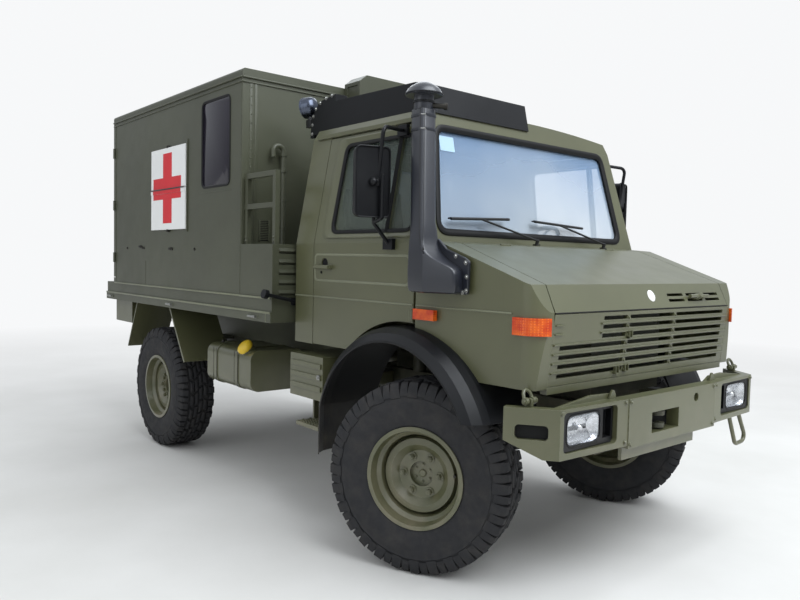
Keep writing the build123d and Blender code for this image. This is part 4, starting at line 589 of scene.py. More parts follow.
def path_mesh(points):
    """Mesh of bare edges through points."""
    mesh = bpy.data.meshes.new("path")
    mesh.from_pydata([tuple(p) for p in points], [(i, i + 1) for i in range(len(points) - 1)], [])
    return mesh


def strip(points, width, height, corner, finish):
    """Mesh of a rounded bar drawn along an open path, its section in millimetres."""
    sizes = {"Width": width / 1000, "Height": height / 1000, "Corner": corner / 1000}
    return section.run(path_mesh(points), finish, **sizes)


def bolts(points, way, radius, height, sides=6, washer=1.5):
    """Mesh of bolt heads at points, all facing one way, their sizes in millimetres."""
    mesh = bpy.data.meshes.new("spots")
    lift = Vector(way) * height * 0.15 / 1000
    mesh.from_pydata([tuple(point + lift) for point in points], [], [])
    attribute = mesh.attributes.new("facing", "FLOAT_VECTOR", "POINT")
    for value in attribute.data:
        value.vector = way
    sizes = {"Radius": radius / 1000, "Height": height / 1000, "Sides": sides, "Washer": washer}
    return fasteners.run(mesh, "zinc", **sizes)


# %% [markdown]
# The tyres are the truck's boldest form. A real one is a casing whose shoulders carry chunky blocks
# that run down the sidewall to a fine moulded line. Here a section spun about the axle makes the
# casing, and the ring tree sets the blocks: a long and a short shoulder block on each side, and two
# staggered rows in the middle. All four tyres share the one mesh, turned to its wheel.

# %% Tyres
FACE_R = 511
LUG_PAIRS = 28
CASING_STEPS = 112
LUG_BEVEL_M, LUG_TOP_M = 0.0035, 0.506
CASING = [
    # radius, distance out from the middle
    (262, 128), (268, 140), (285, 147), (325, 156), (370, 161), (405, 160), (421, 157.5), (423.5, 158.5),
    (426, 156), (440, 152), (470, 141), (487, 126), (494, 85), (496, 0),
]
# Sections of the tread blocks: distance out, radius, share of the block's height
LONG_LUG = [
    (158.5, 428, 0), (158, 448, 0.2), (151, 478, 0.6), (139, FACE_R - 4, 1), (88, FACE_R, 1), (84, 490, 0),
    (120, 480, 0), (140, 440, 0),
]
SHORT_LUG = [
    (157.5, 436, 0), (155, 456, 0.2), (145, 482, 0.6), (131, FACE_R - 4, 1), (94, FACE_R, 1), (90, 490, 0),
    (120, 480, 0), (140, 446, 0),
]
MIDDLE_LUG = [(76, 490, 0), (72, FACE_R, 1), (44, FACE_R, 1), (40, 490, 0)]
CENTRE_LUG = [(34, 490, 0), (30, FACE_R, 1), (6, FACE_R, 1), (2, 490, 0)]
LUG_ROWS = [
    # section, width at foot and at face, skew, angle on each side as a share of the pitch
    (LONG_LUG, 56, 48, 0.10, (0.0, 0.25)),
    (SHORT_LUG, 44, 37, 0.10, (0.5, 0.75)),
    (MIDDLE_LUG, 92, 84, 0.55, (0.15, 0.40)),
    (CENTRE_LUG, 94, 86, -0.5, (0.65, 0.90)),
]


def lug(outline, foot, face, skew):
    """Tread block: its section drawn across its width round the tyre."""
    form = bmesh.new()
    form.from_mesh(skin([[
        mm(radius, way * (foot + (face - foot) * rise) / 2 + skew * out, out) for out, radius, rise in outline
    ] for way in (-1, 1)]))
    top = [edge for edge in form.edges if all(vert.co.x > LUG_TOP_M for vert in edge.verts)]
    bmesh.ops.bevel(form, geom=top, offset=LUG_BEVEL_M, segments=1, affect="EDGES")
    return placed("lug", as_mesh(form))


tyre_parts = [turned(CASING + [(radius, -out) for radius, out in reversed(CASING[:-1])], CASING_STEPS, True)]
seed_mesh = path_mesh([(0, 0, 0)])
for outline, foot, face, skew, shares in LUG_ROWS:
    for way, share in zip((1, -1), shares):
        block = lug([(way * out, radius, rise) for out, radius, rise in outline], foot, face, skew)
        first = share * math.tau / LUG_PAIRS
        tyre_parts.append(ring.run(seed_mesh, "tyre", Count=LUG_PAIRS, First=first, Shape=block))
        bpy.data.objects.remove(block)
tyre_mesh = build(meshes=tyre_parts)

KINGPIN_Y = 850
TRACK_HALF = 930
AXLE_Z = 512
STEER = math.radians(25)
REACH = TRACK_HALF - KINGPIN_Y
WHEELS = []
for label, side in SIDES:
    front = at(-side * REACH * math.sin(STEER), side * (KINGPIN_Y + REACH * math.cos(STEER)), AXLE_Z)
    WHEELS.append((f"front_{label}", front, Vector((-side * math.sin(STEER), side * math.cos(STEER), 0))))
    WHEELS.append((f"rear_{label}", at(-WHEELBASE, side * TRACK_HALF, AXLE_Z), Vector((0, side, 0))))


def wheel_place(centre, axle):
    """Matrix that lays a wheel's own Z along its axle, pointing outwards."""
    across = Vector((0, 0, 1)).cross(axle)
    return Matrix.Translation(centre) @ Matrix((across, axle.cross(across), axle)).transposed().to_4x4()


for name, centre, axle in WHEELS:
    mesh = laid(tyre_mesh, wheel_place(centre, axle))
    piece(f"tread_{name}", mesh, "tyre", 40, f"wheel_{name}", replaces=[f"tyre_{name}"])

# %% [markdown]
# The cab windows sit in moulded rubber seals. A seal is a rounded strip that follows the edge of
# the opening, so its path is the opening's outline with rounded corners, placed on the sloping side
# of the cab. A place takes a distance along, a height and a distance out, and gives a point.

# %% Cab outlines
CAB_HALF = 1000
DRIP_HALF = 875
BELT_Z = 1745
DRIP_Z = 2420
SCREEN_X = 43
SCREEN_LEAN = 139 / 642


def screen_at(y, z, out=0):
    """Point of the windscreen's plane, lifted out of it by a distance in millimetres."""
    lean = math.atan(SCREEN_LEAN)
    return at(SCREEN_X - (z - BELT_Z) * SCREEN_LEAN + out * math.cos(lean), y, z + out * math.sin(lean))


def on_cab(side):
    """Places on a cab side, which leans in above the belt."""
    lean = (CAB_HALF - DRIP_HALF) / (DRIP_Z - BELT_Z)
    return lambda x, up, out: at(x, side * (CAB_HALF - max(0, up - BELT_Z) * lean + out), up)


def on_wall(side, base):
    """Places on an upright wall that faces sideways."""
    return lambda x, up, out: at(x, side * (base + out), up)


def facing(x, way=1, y=0, z=0):
    """Places on an upright wall that faces forward or backward."""
    return lambda across, up, out: at(x + way * out, y + across, z + up)


def flat_loop(corners, radius):
    """Points round a flat closed outline whose corners are rounded."""
    corners = [Vector((*corner, 0)) for corner in corners]
    points = []
    for index, corner in enumerate(corners):
        before, after = corners[index - 1], corners[(index + 1) % len(corners)]
        back, on = (before - corner).normalized(), (after - corner).normalized()
        reach = radius / math.tan(back.angle(on) / 2)
        for step in range(CORNER_STEPS + 1):
            share = step / CORNER_STEPS
            first, second = corner + back * reach * (1 - share), corner + on * reach * share
            points.append((first * (1 - share) + second * share)[:2])
    return points


def rectangle(across, up):
    """Corners of an upright rectangle from its low and high ends."""
    return [(across[0], up[0]), (across[1], up[0]), (across[1], up[1]), (across[0], up[1])]


def grown(corners, distance):
    """Corners of a flat outline moved outwards by a distance."""
    area = sum(a[0] * b[1] - b[0] * a[1] for a, b in zip(corners, corners[1:] + corners[:1]))
    reach = distance if area > 0 else -distance
    moved = []
    for index, corner in enumerate(map(Vector, corners)):
        before, after = Vector(corners[index - 1]), Vector(corners[(index + 1) % len(corners)])
        first, second = (corner - before).normalized(), (after - corner).normalized()
        normals = Vector((first.y, -first.x)) + Vector((second.y, -second.x))
        moved.append(tuple(corner + normals * reach / (1 + first.dot(second))))
    return moved


def lofted_loops(loops, place, ring_of_rows=False):
    """Mesh through rounded outlines, each given as its corners, corner radius and distance out."""
    rows = [[place(x, up, out) for x, up in flat_loop(corners, radius)] for corners, radius, out in loops]
    return skin(rows, ring_of_rows)


def lofted(corners, radius, levels, place, ring_of_rows=False):
    """Mesh through copies of a rounded outline, each grown and lifted as (growth, out) levels say."""
    loops = [(grown(corners, growth), max(radius + growth, MIN_CORNER), out) for growth, out in levels]
    return lofted_loops(loops, place, ring_of_rows)


# %% [markdown]
# A seal or a pressed frame is one cross-section carried round a rounded outline. `lofted` takes the
# outline and a list of levels, each saying how far the outline grows and how far it stands out of
# the wall, so the same few lines make the rubber seals, the bevelled frame round the door window,
# lamp rims and plates with rounded edges.

# %% Window seals and frames
BACK_WALL_X = -1160
BOX_HALF = 1150
GLASS_LOW, GLASS_HIGH = 1812, 2345
LEAN = (GLASS_HIGH - GLASS_LOW) * SCREEN_LEAN
DOOR_GLASS = [(-785, GLASS_LOW), (-36, GLASS_LOW), (-36 - LEAN, GLASS_HIGH), (-773, GLASS_HIGH)]
DIVIDER = ((-254, GLASS_LOW - 6, 0), (-254, GLASS_HIGH + 6, 0), 14.5, 4)
SCREEN_EDGE = [(-850, 1815), (850, 1815), (770, 2385), (-770, 2385)]
REAR_GLASS = rectangle((-420, 420), (1830, 2290))
BOX_WINDOW = rectangle((-2238, -1807), (2162, 2776))
# Levels of a pressed steel frame that slopes in to the glass, and of the rubber lips
FRAME_EDGE = [(-868, 1774), (3, 1774), (-131, 2394), (-858, 2394)]
FRAME_RIDGE = [(-842, 1783), (-4, 1783), (-135, 2385), (-836, 2385)]
FRAME_FOOT = grown(DOOR_GLASS, 12)
PRESSED = [
    (FRAME_EDGE, 62, -1), (grown(FRAME_EDGE, -2), 60, 9), (FRAME_RIDGE, 58, 12), (FRAME_FOOT, 60, 1),
    (FRAME_FOOT, 60, -8), (FRAME_EDGE, 62, -8),
]
LIP = [(10, -10), (11, 3), (6, 5), (-6, 4), (-12, -2), (-12, -12)]
THIN_LIP = [(13, -1), (12, 4), (8, 6), (1, 5), (-4, 1), (-4, -16), (0, -18)]
BROAD_LIP = [(26, -2), (25, 6), (16, 10), (2, 9), (-12, 1), (-12, -12), (0, -14)]
TINT = [(-0.5, -20), (-0.5, -3), (-3, -2)]
for label, side in SIDES:
    cab, wall, door = on_cab(side), on_wall(side, BOX_HALF), f"door_{label}"
    piece(f"door_frame_{label}", lofted_loops(PRESSED, cab, True), "olive_paint", body=door)
    piece(f"door_seal_{label}", lofted(DOOR_GLASS, 55, LIP, cab, True), "seal_rubber", body=door)
    piece(f"window_bar_{label}", build([DIVIDER], place=cab), "seal_rubber", body=door)
    piece(f"box_window_seal_{label}", lofted(BOX_WINDOW, 45, THIN_LIP, wall, True), "seal_rubber")
    piece(f"box_window_tint_{label}", lofted(BOX_WINDOW, 45, TINT, wall), "box_tint")
piece("screen_seal", lofted(SCREEN_EDGE, 60, BROAD_LIP, screen_at, True), "seal_rubber")
piece("rear_seal", lofted(REAR_GLASS, 30, BROAD_LIP, facing(BACK_WALL_X, -1), True), "seal_rubber")

# %% [markdown]
# The white panel on each side of the box carries a plain red cross. The panel folds at its middle,
# so the cross is two thin painted plates: one on the fixed half and one on the flap, which swings
# with it. The flap's back is olive, so the box is plain when the flap is folded up.

# %% Red crosses
CROSS_FACE = 1168
PAINT_MM = 0.8
BAR, POST = (-3128, -2578), (-2928, -2754)
RED_PLATES = [
    # piece, body, and its plates' ends along the box, heights and lift
    ("cross_top", "chassis", [(BAR, (2186, 2279), 0), (POST, (2279, 2473), 0)]),
    ("cross_low", None, [(BAR, (2105, 2151), 0), (POST, (1911, 2105), 0), (BAR, (2151, 2183), 4)]),
]
FOLD_LINE = ((-3175, 2185, 5.3), (-2505, 2185, 5.3), 5.7, 24)
FLAP_BACK = ((-3173, 1861, -14.5), (-2507, 2183, -12.5))
for label, side in SIDES:
    wall, flap = on_wall(side, CROSS_FACE), f"cross_flap_{label}"
    for name, body, plates in RED_PLATES:
        blocks = [((x[0], z[0], lift), (x[1], z[1], lift + PAINT_MM)) for x, z, lift in plates]
        piece(f"{name}_{label}", build(blocks=blocks, place=wall), "red_paint", body=body or flap)
    mesh = build([FOLD_LINE], place=wall)
    piece(f"cross_hinge_{label}", mesh, "black_paint", body=flap)
    piece(f"cross_back_{label}", build(blocks=[FLAP_BACK], place=wall), "box_paint", body=flap)

# %% [markdown]
# Small parts give a large plain body its scale. The wheels get real hex nuts over the plain pins
# of the model, a hub with six bolts in the centre hole, and a valve. All are drawn once in the
# wheel's own frame, with Z along its axle, and then laid onto each wheel.

# %% Wheel nuts, hubs and valves
DISC_Z, HUB_FACE_Z = 45, 21
NUT_CIRCLE, HUB_CIRCLE = 102.5, 46
STUD_LENGTH = 31
HUB_OUTLINE = [(0, 34), (16, 34), (21, 29), (21, 22), (62, HUB_FACE_Z), (62, 0)]
VALVE = [((196, 30, 52), (208, 30, 98), 4.5, 10), ((205, 30, 86), (210, 30, 106), 7, 10)]
UP = (0, 0, 1)
nut_spots = circle(6, NUT_CIRCLE, DISC_Z)
studs = build([(spot, (*spot[:2], DISC_Z + STUD_LENGTH), 8.5, 12) for spot in nut_spots], place=mm)
nuts = bolts([mm(*spot) for spot in nut_spots], UP, 18.5, 22, washer=1.3)
hub_bolts = bolts([mm(*spot) for spot in circle(6, HUB_CIRCLE, HUB_FACE_Z, 0.5)], UP, 7.5, 8, washer=1.35)
WHEEL_FITTINGS = [
    ("nuts", build(meshes=[nuts, studs]), "olive_paint"),
    ("hub", build(meshes=[turned(HUB_OUTLINE), hub_bolts]), "olive_paint"),
    ("valve", build(VALVE, place=mm), "dark_steel"),
]
for name, centre, axle in WHEELS:
    for kind, mesh, finish in WHEEL_FITTINGS:
        piece(f"{kind}_{name}", laid(mesh, wheel_place(centre, axle)), finish, body=f"wheel_{name}")

# %% [markdown]
# The coil springs are round bar wound on a helix, and each has flat closed ends: its pitch starts at
# one bar's width, opens in the middle, and closes again. The section tree draws the bar.

# %% Coil springs
SPRING_Y = 500
SPRING_LOW, SPRING_HIGH = 690, 905
COIL_R, BAR_R = 62, 9.5
COIL_TURNS, STEPS_PER_TURN = 6, 24
END_FLATNESS = 0.11
coils = []
for x in (0, -WHEELBASE):
    for _, side in SIDES:
        points = []
        for step in range(COIL_TURNS * STEPS_PER_TURN + 1):
            share = step / (COIL_TURNS * STEPS_PER_TURN)
            rise = share - END_FLATNESS * math.sin(math.tau * share)
            angle = math.tau * COIL_TURNS * share
            z = SPRING_LOW + BAR_R + (SPRING_HIGH - SPRING_LOW - 2 * BAR_R) * rise
            points.append(at(x + COIL_R * math.cos(angle), side * SPRING_Y + COIL_R * math.sin(angle), z))
        coils.append(strip(points, 2 * BAR_R, 2 * BAR_R, 0.998 * BAR_R, "chassis_paint"))
piece("coil_springs", build(meshes=coils), "chassis_paint", 50, replaces=["springs"])

# %% [markdown]
# Each headlamp is a bowl, a bulb shield and a clear front pane with a soft bulge. The search lamp
# behind the roof shroud is the same idea in the round: a silver cup, a rim and a clear pane.

# %% Headlamps and search lamp
LAMP_BACK_X, LAMP_Y, LAMP_MID_Z = 884, 756, 895
LAMP_OUTLINE = rectangle((-128, 128), (-71, 71))
LAMP_PIECES = [
    # piece, finish, levels
    ("bowl", "reflector", [(0, 31), (-3, 31), (-9, 18), (-20, 9), (-38, 3), (-60, 1), (-60, 0.5), (0, 0.5)]),
    ("pane", "lens", [
        (-1, 25), (-1, 33), (-8, 37), (-30, 42), (-58, 45), (-58, 42), (-30, 39), (-8, 34), (-6, 25),
    ]),
    ("rim", "black_plastic", [(0, 24), (7, 24), (7, 37), (4, 41), (-2, 41), (-4, 34), (-1, 32)]),
]
BULB = [((0, 0, 1), (0, 0, 18), 10, 20, 7), ((0, 0, 17), (0, 0, 24), 16, 24, 10)]
for label, side in SIDES:
    lamp = facing(LAMP_BACK_X, 1, side * LAMP_Y, LAMP_MID_Z)
    for name, finish, levels in LAMP_PIECES:
        replaced = ["clear_lamps"] if name == "bowl" and side < 0 else ()
        mesh = lofted(LAMP_OUTLINE, 46, levels, lamp, True)
        piece(f"headlamp_{name}_{label}", mesh, finish, 40, replaces=replaced)
    piece(f"headlamp_bulb_{label}", build(BULB, place=lamp), "reflector")

SEARCH_BACK, SEARCH_FRONT = at(-1283, -792, 2676), at(-1355, -821, 2667)
search_place = along(SEARCH_BACK, SEARCH_FRONT - SEARCH_BACK)
mouth = 1000 * (SEARCH_FRONT - SEARCH_BACK).length
CUP = [
    (0, -12), (30, -10), (55, 2), (66, 22), (68, mouth - 6), (71, mouth - 5), (71, mouth + 4),
    (62, mouth + 4), (60, mouth - 6), (40, mouth - 34), (0, mouth - 46),
]
PANE = [(0, mouth + 6), (35, mouth + 3), (61, mouth - 3), (61, mouth - 6), (0, mouth - 4)]
STAY_ROD = ((-1310, -812, 2570), (-1316, -806, 2616), 14)
STAY_FOOT = ((-1331, -831, 2530), (-1273, -799, 2585), 4)
piece("search_lamp_cup", laid(turned(CUP, 64), search_place), "lamp_shell", 60)
piece("search_lamp_pane", laid(turned(PANE, 64), search_place), "lens", 60)
piece("search_lamp_stay", build([STAY_ROD], [STAY_FOOT]), "black_paint")

# %% [markdown]
# Pressed lines keep the flat cab panels from looking like slabs. One thin half-round bead runs along
# the cab, door and wing at waist height, and a shallow rounded rectangle is pressed round the door
# handle. Both are drawn in a paler copy of the olive paint: a painted highlight of the light they
# catch. The handle itself is a bar between two rounded feet, over a dark scoop for the fingers, its
# near-black a painted shade in the recess, and a small lock.

# %% Pressed lines and door handles
SWAGE_Z = 1413
SWAGES = [
    # piece, body, points as (ahead of the axle, half width)
    ("swage_cab", "chassis", [(-1158, 1000), (-956, 1000)]),
    ("swage_door", None, [(-948, 1000), (-8, 1000)]),
    ("swage_wing", "chassis", [(18, 998), (200, 992), (600, 964), (650, 962)]),
]
DOOR_PANEL = rectangle((-940, -42), (1516, 1675))
PANEL_LINE = [(8, -1), (5, 1.6), (0, 3), (-5, 1.6), (-8, -1)]
HANDLE = [((-909, 1599, 21), (-761, 1599, 21), 12.5, 18)]
HANDLE += [((x, 1599, -2), (x, 1599, 22), 15.5, 18, 13) for x in (-905, -765)]
SCOOP = [((-835, 1621, -8.6), (-835, 1621, -6.6), 31, 32), ((-868, 1566, -4), (-868, 1566, 3), 9, 16)]
HINGES = [((-36, z - 30, -1), (-8, z + 30, 4), 1.5) for z in (1360, 1690)]
for label, side in SIDES:
    cab, door = on_cab(side), f"door_{label}"
    # The beads and the pressed line take the paler paint, a painted highlight.
    for name, body, stops in SWAGES:
        mesh = strip([at(x, side * y, SWAGE_Z) for x, y in stops], 12, 10, 4.5, "olive_paint")
        piece(f"{name}_{label}", mesh, "ridge_paint", 60, body or door)
    mesh = lofted(DOOR_PANEL, 32, PANEL_LINE, cab, True)
    piece(f"door_panel_line_{label}", mesh, "ridge_paint", 60, door)
    piece(f"door_handle_{label}", build(HANDLE, place=cab), "olive_paint", body=door)
    # The scoop's near-black disc is painted shade in the recess; the lock plug takes the same finish.
    piece(f"door_scoop_{label}", build(SCOOP, place=cab), "void", body=door)
    hinges = build(blocks=HINGES, place=on_wall(side, CAB_HALF))
    piece(f"door_hinges_{label}", hinges, "olive_paint", body=door)

# %% [markdown]
# The mirrors: a raised rim round a black shell, its glass facing back, and the ball clamp on the
# bowed arm. The head is turned about an upright axis, so its pieces are placed by that turned plane.

# %% Mirrors
MIRROR_OUTLINE = rectangle((-95, 95), (-185, 185))
MIRROR_TURN = math.radians(18)
MIRROR_RIM = [(-2, 23.4), (4, 23.4), (4, 30), (0, 33), (-4, 30)]
MIRROR_GLASS = [(-9, -24.5), (-9, -22)]


def on_mirror(side):
    """Places on the head: along its width, up, and out towards the front."""
    turn = Matrix.Rotation(side * MIRROR_TURN, 3, "Z")
    return lambda across, up, out: at(-180, side * 1160, 2060) + turn @ mm(out, across, up)


for label, side in SIDES:
    head, door = on_mirror(side), f"door_{label}"
    rim = lofted(MIRROR_OUTLINE, 30, MIRROR_RIM, head, True)
    glass = lofted(MIRROR_OUTLINE, 30, MIRROR_GLASS, head)
    piece(f"mirror_rim_{label}", rim, "black_plastic", 50, door)
    piece(f"mirror_glass_{label}", glass, "mirror_glass", body=door)
    arm = [
        ((-158, side * 1130, 2040), (-158, side * 1130, 2080), 20, 20),
        ((-112, side * 1136, 2100), (-118, side * 1134, 1868), 10, 16),
        ((-118, side * 1134, 1870), (-178, side * 1130, 1853), 10, 16),
    ]
    mesh = build(arm, meshes=[ball(head(0, 0, 33), 23, 20, 12)])
    piece(f"mirror_clamp_{label}", mesh, "black_plastic", 50, door)

# %% [markdown]
# The box body is plain sheet, so its lines matter: two gutters along the top, corner strips with
# rivets, seams beside the window, and the small catches that hold the folded cross panel. Below it
# the platform has beads along its rail, drawn in the paler paint as a painted highlight, and recessed
# lashing rings.

# %% Box trim
GUTTERS = [(2868, 2878, 12), (2838, 2845, 8)]
BOX_TRIM = [((-4124, low, -1), (-1630, high, out), 2) for low, high, out in GUTTERS]
BOX_TRIM += [((-2262, 2118, -1), (-1782, 2122, 2))]
BOX_STRIPS = [
    # along, width, how far it stands out, low and high end
    (-1642, 4, 2, 1400, 2836), (-3344, 4, 2, 1400, 1600),
    (-2497, 14, 10, 1840, 2550), (-4076, 12, 3, 1400, 2836),
]
BOX_TRIM += [((x - w / 2, low, -1), (x + w / 2, high, out), 0.8) for x, w, out, low, high in BOX_STRIPS]
CATCHES = [(-2842, 2524), (-2842, 1851)]
STUDS = [
    (-3462, 1724), (-3418, 1716), (-3380, 1712), (-2817, 1706), (-2778, 1704), (-2364, 1703), (-3778, 1711),
]
CATCH_RODS = [((x - 24, z, 12), (x + 24, z, 12), 4, 10) for x, z in CATCHES]
CATCH_BLOCKS = [((x - 14, z - 10, -1), (x + 14, z + 10, 22), 3) for x, z in CATCHES]
CATCH_BLOCKS += [((x - 30, z - 9, -1), (x + 30, z + 9, 9), 3) for x, z in (STUDS[0], STUDS[3])]
BEADS = [
    ((-4305, 1284, -2), (-1212, 1299, 5), 4), ((-1272, 1229, -1), (-1266, 1290, 1.5)),
    ((-4086, 1380, -11), (-1634, 1393, 4), 5), ((-1630, 1380, -1), (-1216, 1393, 4), 2),
]
LASHING_X, LASHING_Z = (-4181, -2797, -1429), 1257
PLATES = [rectangle((x - 62, x + 62), (LASHING_Z - 17, LASHING_Z + 17)) for x in LASHING_X]
PLATE_EDGE = [(0, -1), (0, 2), (-4, 4)]
RINGS = [((x + end, LASHING_Z, 2), (x + end, LASHING_Z, 14), 7, 12) for x in LASHING_X for end in (-44, 44)]
RINGS += [((x - 50, LASHING_Z, 14), (x + 50, LASHING_Z, 14), 8, 12) for x in LASHING_X]
for label, side in SIDES:
    wall, rail = on_wall(side, BOX_HALF), on_wall(side, BOX_HALF + 10)
    piece(f"box_trim_{label}", build(blocks=BOX_TRIM, place=wall), "box_paint")
    studs = bolts([wall(x, z, 0) for x, z in STUDS], (0, side, 0), 8, 7)
    mesh = build(CATCH_RODS, CATCH_BLOCKS, [studs], wall)
    piece(f"box_catches_{label}", mesh, "dark_steel")
    # The rail's beads take the paler paint, a painted highlight.
    piece(f"platform_bead_{label}", build(blocks=BEADS, place=rail), "ridge_paint")
    plates = [lofted(outline, 16, PLATE_EDGE, rail) for outline in PLATES]
    piece(f"lashing_plates_{label}", build(meshes=plates), "box_paint", 50)
    piece(f"lashing_rings_{label}", build(RINGS, place=rail), "zinc", 50)

# Front wall: two upright strips on each side with rivets, and a vent grid on the right
BOX_FRONT_X = -1627
RIVET_Y, INNER_STRIP_Y = 1082, 1045
VENT_Y, VENT_Z = (-1011, -935), (1766, 1912)
front = facing(BOX_FRONT_X)
strips = [((-BOX_HALF, low, -1), (BOX_HALF, high, out), 2) for low, high, out in GUTTERS]
for y in (RIVET_Y, INNER_STRIP_Y, -RIVET_Y, -INNER_STRIP_Y):
    strips.append(((y - 11, 1760, -1), (y + 11, 2836, 3), 0.8))
spots = [front(side * RIVET_Y, z, 3) for _, side in SIDES for z in range(1790, 2820, 60)]
rivets = bolts(spots, (1, 0, 0), 5, 3, sides=10, washer=1.1)
piece("box_front_trim", build(blocks=strips, meshes=[rivets], place=front), "box_paint")
slats = [((VENT_Y[0], z, 1), (VENT_Y[1], z + 6, 6), 1) for z in range(VENT_Z[0] + 6, VENT_Z[1], 12)]
slats += [((y - 5, VENT_Z[0], 0), (y + 5, VENT_Z[1], 8), 1) for y in VENT_Y]
piece("vent_slats", build(blocks=slats, place=front), "box_paint")
# Painted shade: a near-black plate behind the vent slats.
vent_shade_plate = [((VENT_Y[0], VENT_Z[0], 0.2), (VENT_Y[1], VENT_Z[1], 1.2))]
piece("vent_dark", build(blocks=vent_shade_plate, place=front), "void")

# %% [markdown]
# Under the body: the yellow filler cap, the tank's bands with their bolts, the latches of the side
# boxes and the studs of the anti-slip steps. A row of studs is only a list of places for the
# fastener tree.

# %% Tank cap, latches and step studs
CAP_PLACE = along(at(-1760, -1045, 1015), Vector((0, -1, 1)))
CAP_OUTLINE = [(0, 20), (30, 19), (48, 14), (58, 4), (60, -10), (57, -22), (0, -22)]
piece("filler_cap", laid(turned(CAP_OUTLINE), CAP_PLACE), "yellow_paint", 40)
TANK_BANDS = [-2176, -1847]
BAND_EDGES = [(x + edge, z) for x in TANK_BANDS for edge in (-25, 25) for z in (780, 905)]
bands = [((x - 1.5, -1066, z - 62), (x + 1.5, -1064, z + 62)) for x, z in BAND_EDGES]
band_bolts = bolts([at(x, -1000, 1002) for x in TANK_BANDS], UP, 9, 16)
piece("tank_bands", build(blocks=bands, meshes=[band_bolts]), "dark_steel")
LATCH_Y = 1045
LATCHES = [(-1, -805), (1, -1430), (1, -2270)]
latches = []
for side, x in LATCHES:
    bar, plate = ((x - 10, 920, 14), (x + 10, 920, 14), 6, 12), ((x - 16, 905, -1), (x + 16, 935, 14), 3)
    latches.append(build([bar], [plate], place=on_wall(side, LATCH_Y)))
piece("box_latches", build(meshes=latches), "zinc")
STEP_X, STEP_Y, STEP_Z = -1024, 860, 615
STEP_LIMIT_X = -800
ALONG_PITCH, ROW_SHIFT, ROW_PITCH = 33, 16, 26
grid = [
    (STEP_X + ALONG_PITCH * column + ROW_SHIFT * (row % 2), STEP_Y + ROW_PITCH * row)
    for row in range(8) for column in range(7)
]
spots = [at(x, side * y, STEP_Z) for _, side in SIDES for x, y in grid if x < STEP_LIMIT_X]
piece("step_studs", bolts(spots, UP, 7, 6, sides=10, washer=1.0), "olive_paint", 50)

# %% [markdown]
# The raised air intake is one moulded duct: a skin through rounded sections, broad over its flange
# and drawn in to a leaning pipe. A round rain cap, two clamp bands with their screws and bright
# bolts finish it. The black roof shroud has bolts along its curved flange.

# %% Intake and shroud
INTAKE = [
    # height; rear end, step and front end; inner, outer and front face beyond the cab side; corner
    (1490, 104, 205, 358, -2, 116, 62, 14), (1496, 94, 205, 368, -2, 126, 68, 16),
    (1517, 88, 205, 374, -2, 129, 70, 17), (1580, 86, 205, 370, -2, 130, 71, 17),
    (1604, 86, 205, 364, -2, 130, 73, 17), (1618, 86, 205, 350, -2, 130, 78, 18),
    (1634, 86, 205, 318, -2, 130, 90, 19), (1650, 86, 205, 284, -2, 130, 101, 20),
    (1666, 86, 205, 254, -2, 130, 112, 21), (1684, 85, 205, 228, -2, 130, 121, 22),
    (1706, 85, 203, 207, -2, 129, 125, 24), (1735, 84, 190, 194, -2, 127, 124, 27),
    (1770, 80, 183, 187, -2, 122, 119, 31), (1810, 72, 177, 181, -2, 115, 112, 35),
    (1850, 63, 168, 172, -2, 107, 104, 38), (2446, -76, 30, 34, -111, -5, -8, 38),
]
FLANGE = [(44, 1484), (405, 1488), (410, 1650), (382, 1668), (250, 1712), (190, 1762), (44, 1762)]
CAP_LINE = [(0, 74), (14, 73.5), (42, 65), (70, 49), (88, 31), (97, 14), (99, 10), (99, 2), (96, 0), (0, 0)]
PIPE_TOP, PIPE_LOW = Vector((-20, -942, 2440)), Vector((141, -1076, 1740))
CLAMP_Z, CLAMP_HALF = (2334, 2411), 58
rows = []
for z, rear, step, tip, inner, outer, tip_outer, corner in INTAKE:
    loop = [(rear, inner), (tip, inner), (tip, tip_outer), (step, outer), (rear, outer)]
    rows.append([at(x, -CAB_HALF - out, z) for x, out in flat_loop(loop, corner)])
parts = [skin(rows), lofted(FLANGE, 20, [(0, -2), (0, 9), (-3, 12)], on_wall(-1, CAB_HALF))]
parts.append(laid(turned(CAP_LINE, 56), Matrix.Translation(at(-20, -942, 2520))))
for z in CLAMP_Z:
    x, y, _ = PIPE_TOP.lerp(PIPE_LOW, (PIPE_TOP.z - z) / (PIPE_TOP.z - PIPE_LOW.z))
    band = flat_loop(rectangle((x - CLAMP_HALF, x + CLAMP_HALF), (y - CLAMP_HALF, y + CLAMP_HALF)), 43)
    parts.append(skin([[at(*point, z + rise) for point in band] for rise in (-7, 7)]))
neck, stay = ((-20, -942, 2420), (-20, -942, 2524), 54, 40), ((-38, -942, 2448), (-2, -857, 2466), 3)
# The intake's paler, bluer plastic is a painted sheen.
piece("intake", build([neck], [stay], parts), "intake_plastic", 32, replaces=["snorkel"])
NECK_BOLT = [((22, -918, 2468), (78, -872, 2462), 14, 18), ((70, -878, 2462), (84, -866, 2461), 19, 18)]
piece("neck_bolt", build(NECK_BOLT), "dark_steel", 40)
DUCT_BOLTS = [(390, 1644), (320, 1676), (397, 1508), (372, 1499), (56, 1499), (397, 1575)]
piece("duct_bolts", bolts([at(x, -1012, z) for x, z in DUCT_BOLTS], (0, -1, 0), 8, 7), "zinc", 40)
screws = []
for share in (0.83, 0.94):
    middle = PIPE_LOW.lerp(PIPE_TOP, share) + (PIPE_TOP - PIPE_LOW).normalized() * 13
    screws.append((middle + Vector((40, -56, 0)), middle + Vector((64, -44, 0)), 5, 12))
piece("clamp_screws", build(screws), "zinc")
CAP_RIB = [(97, -3), (101.5, -3), (101.5, 3), (97, 3)]
NECK_RIB = [(53, -46), (58, -46), (58, -34), (53, -34)]
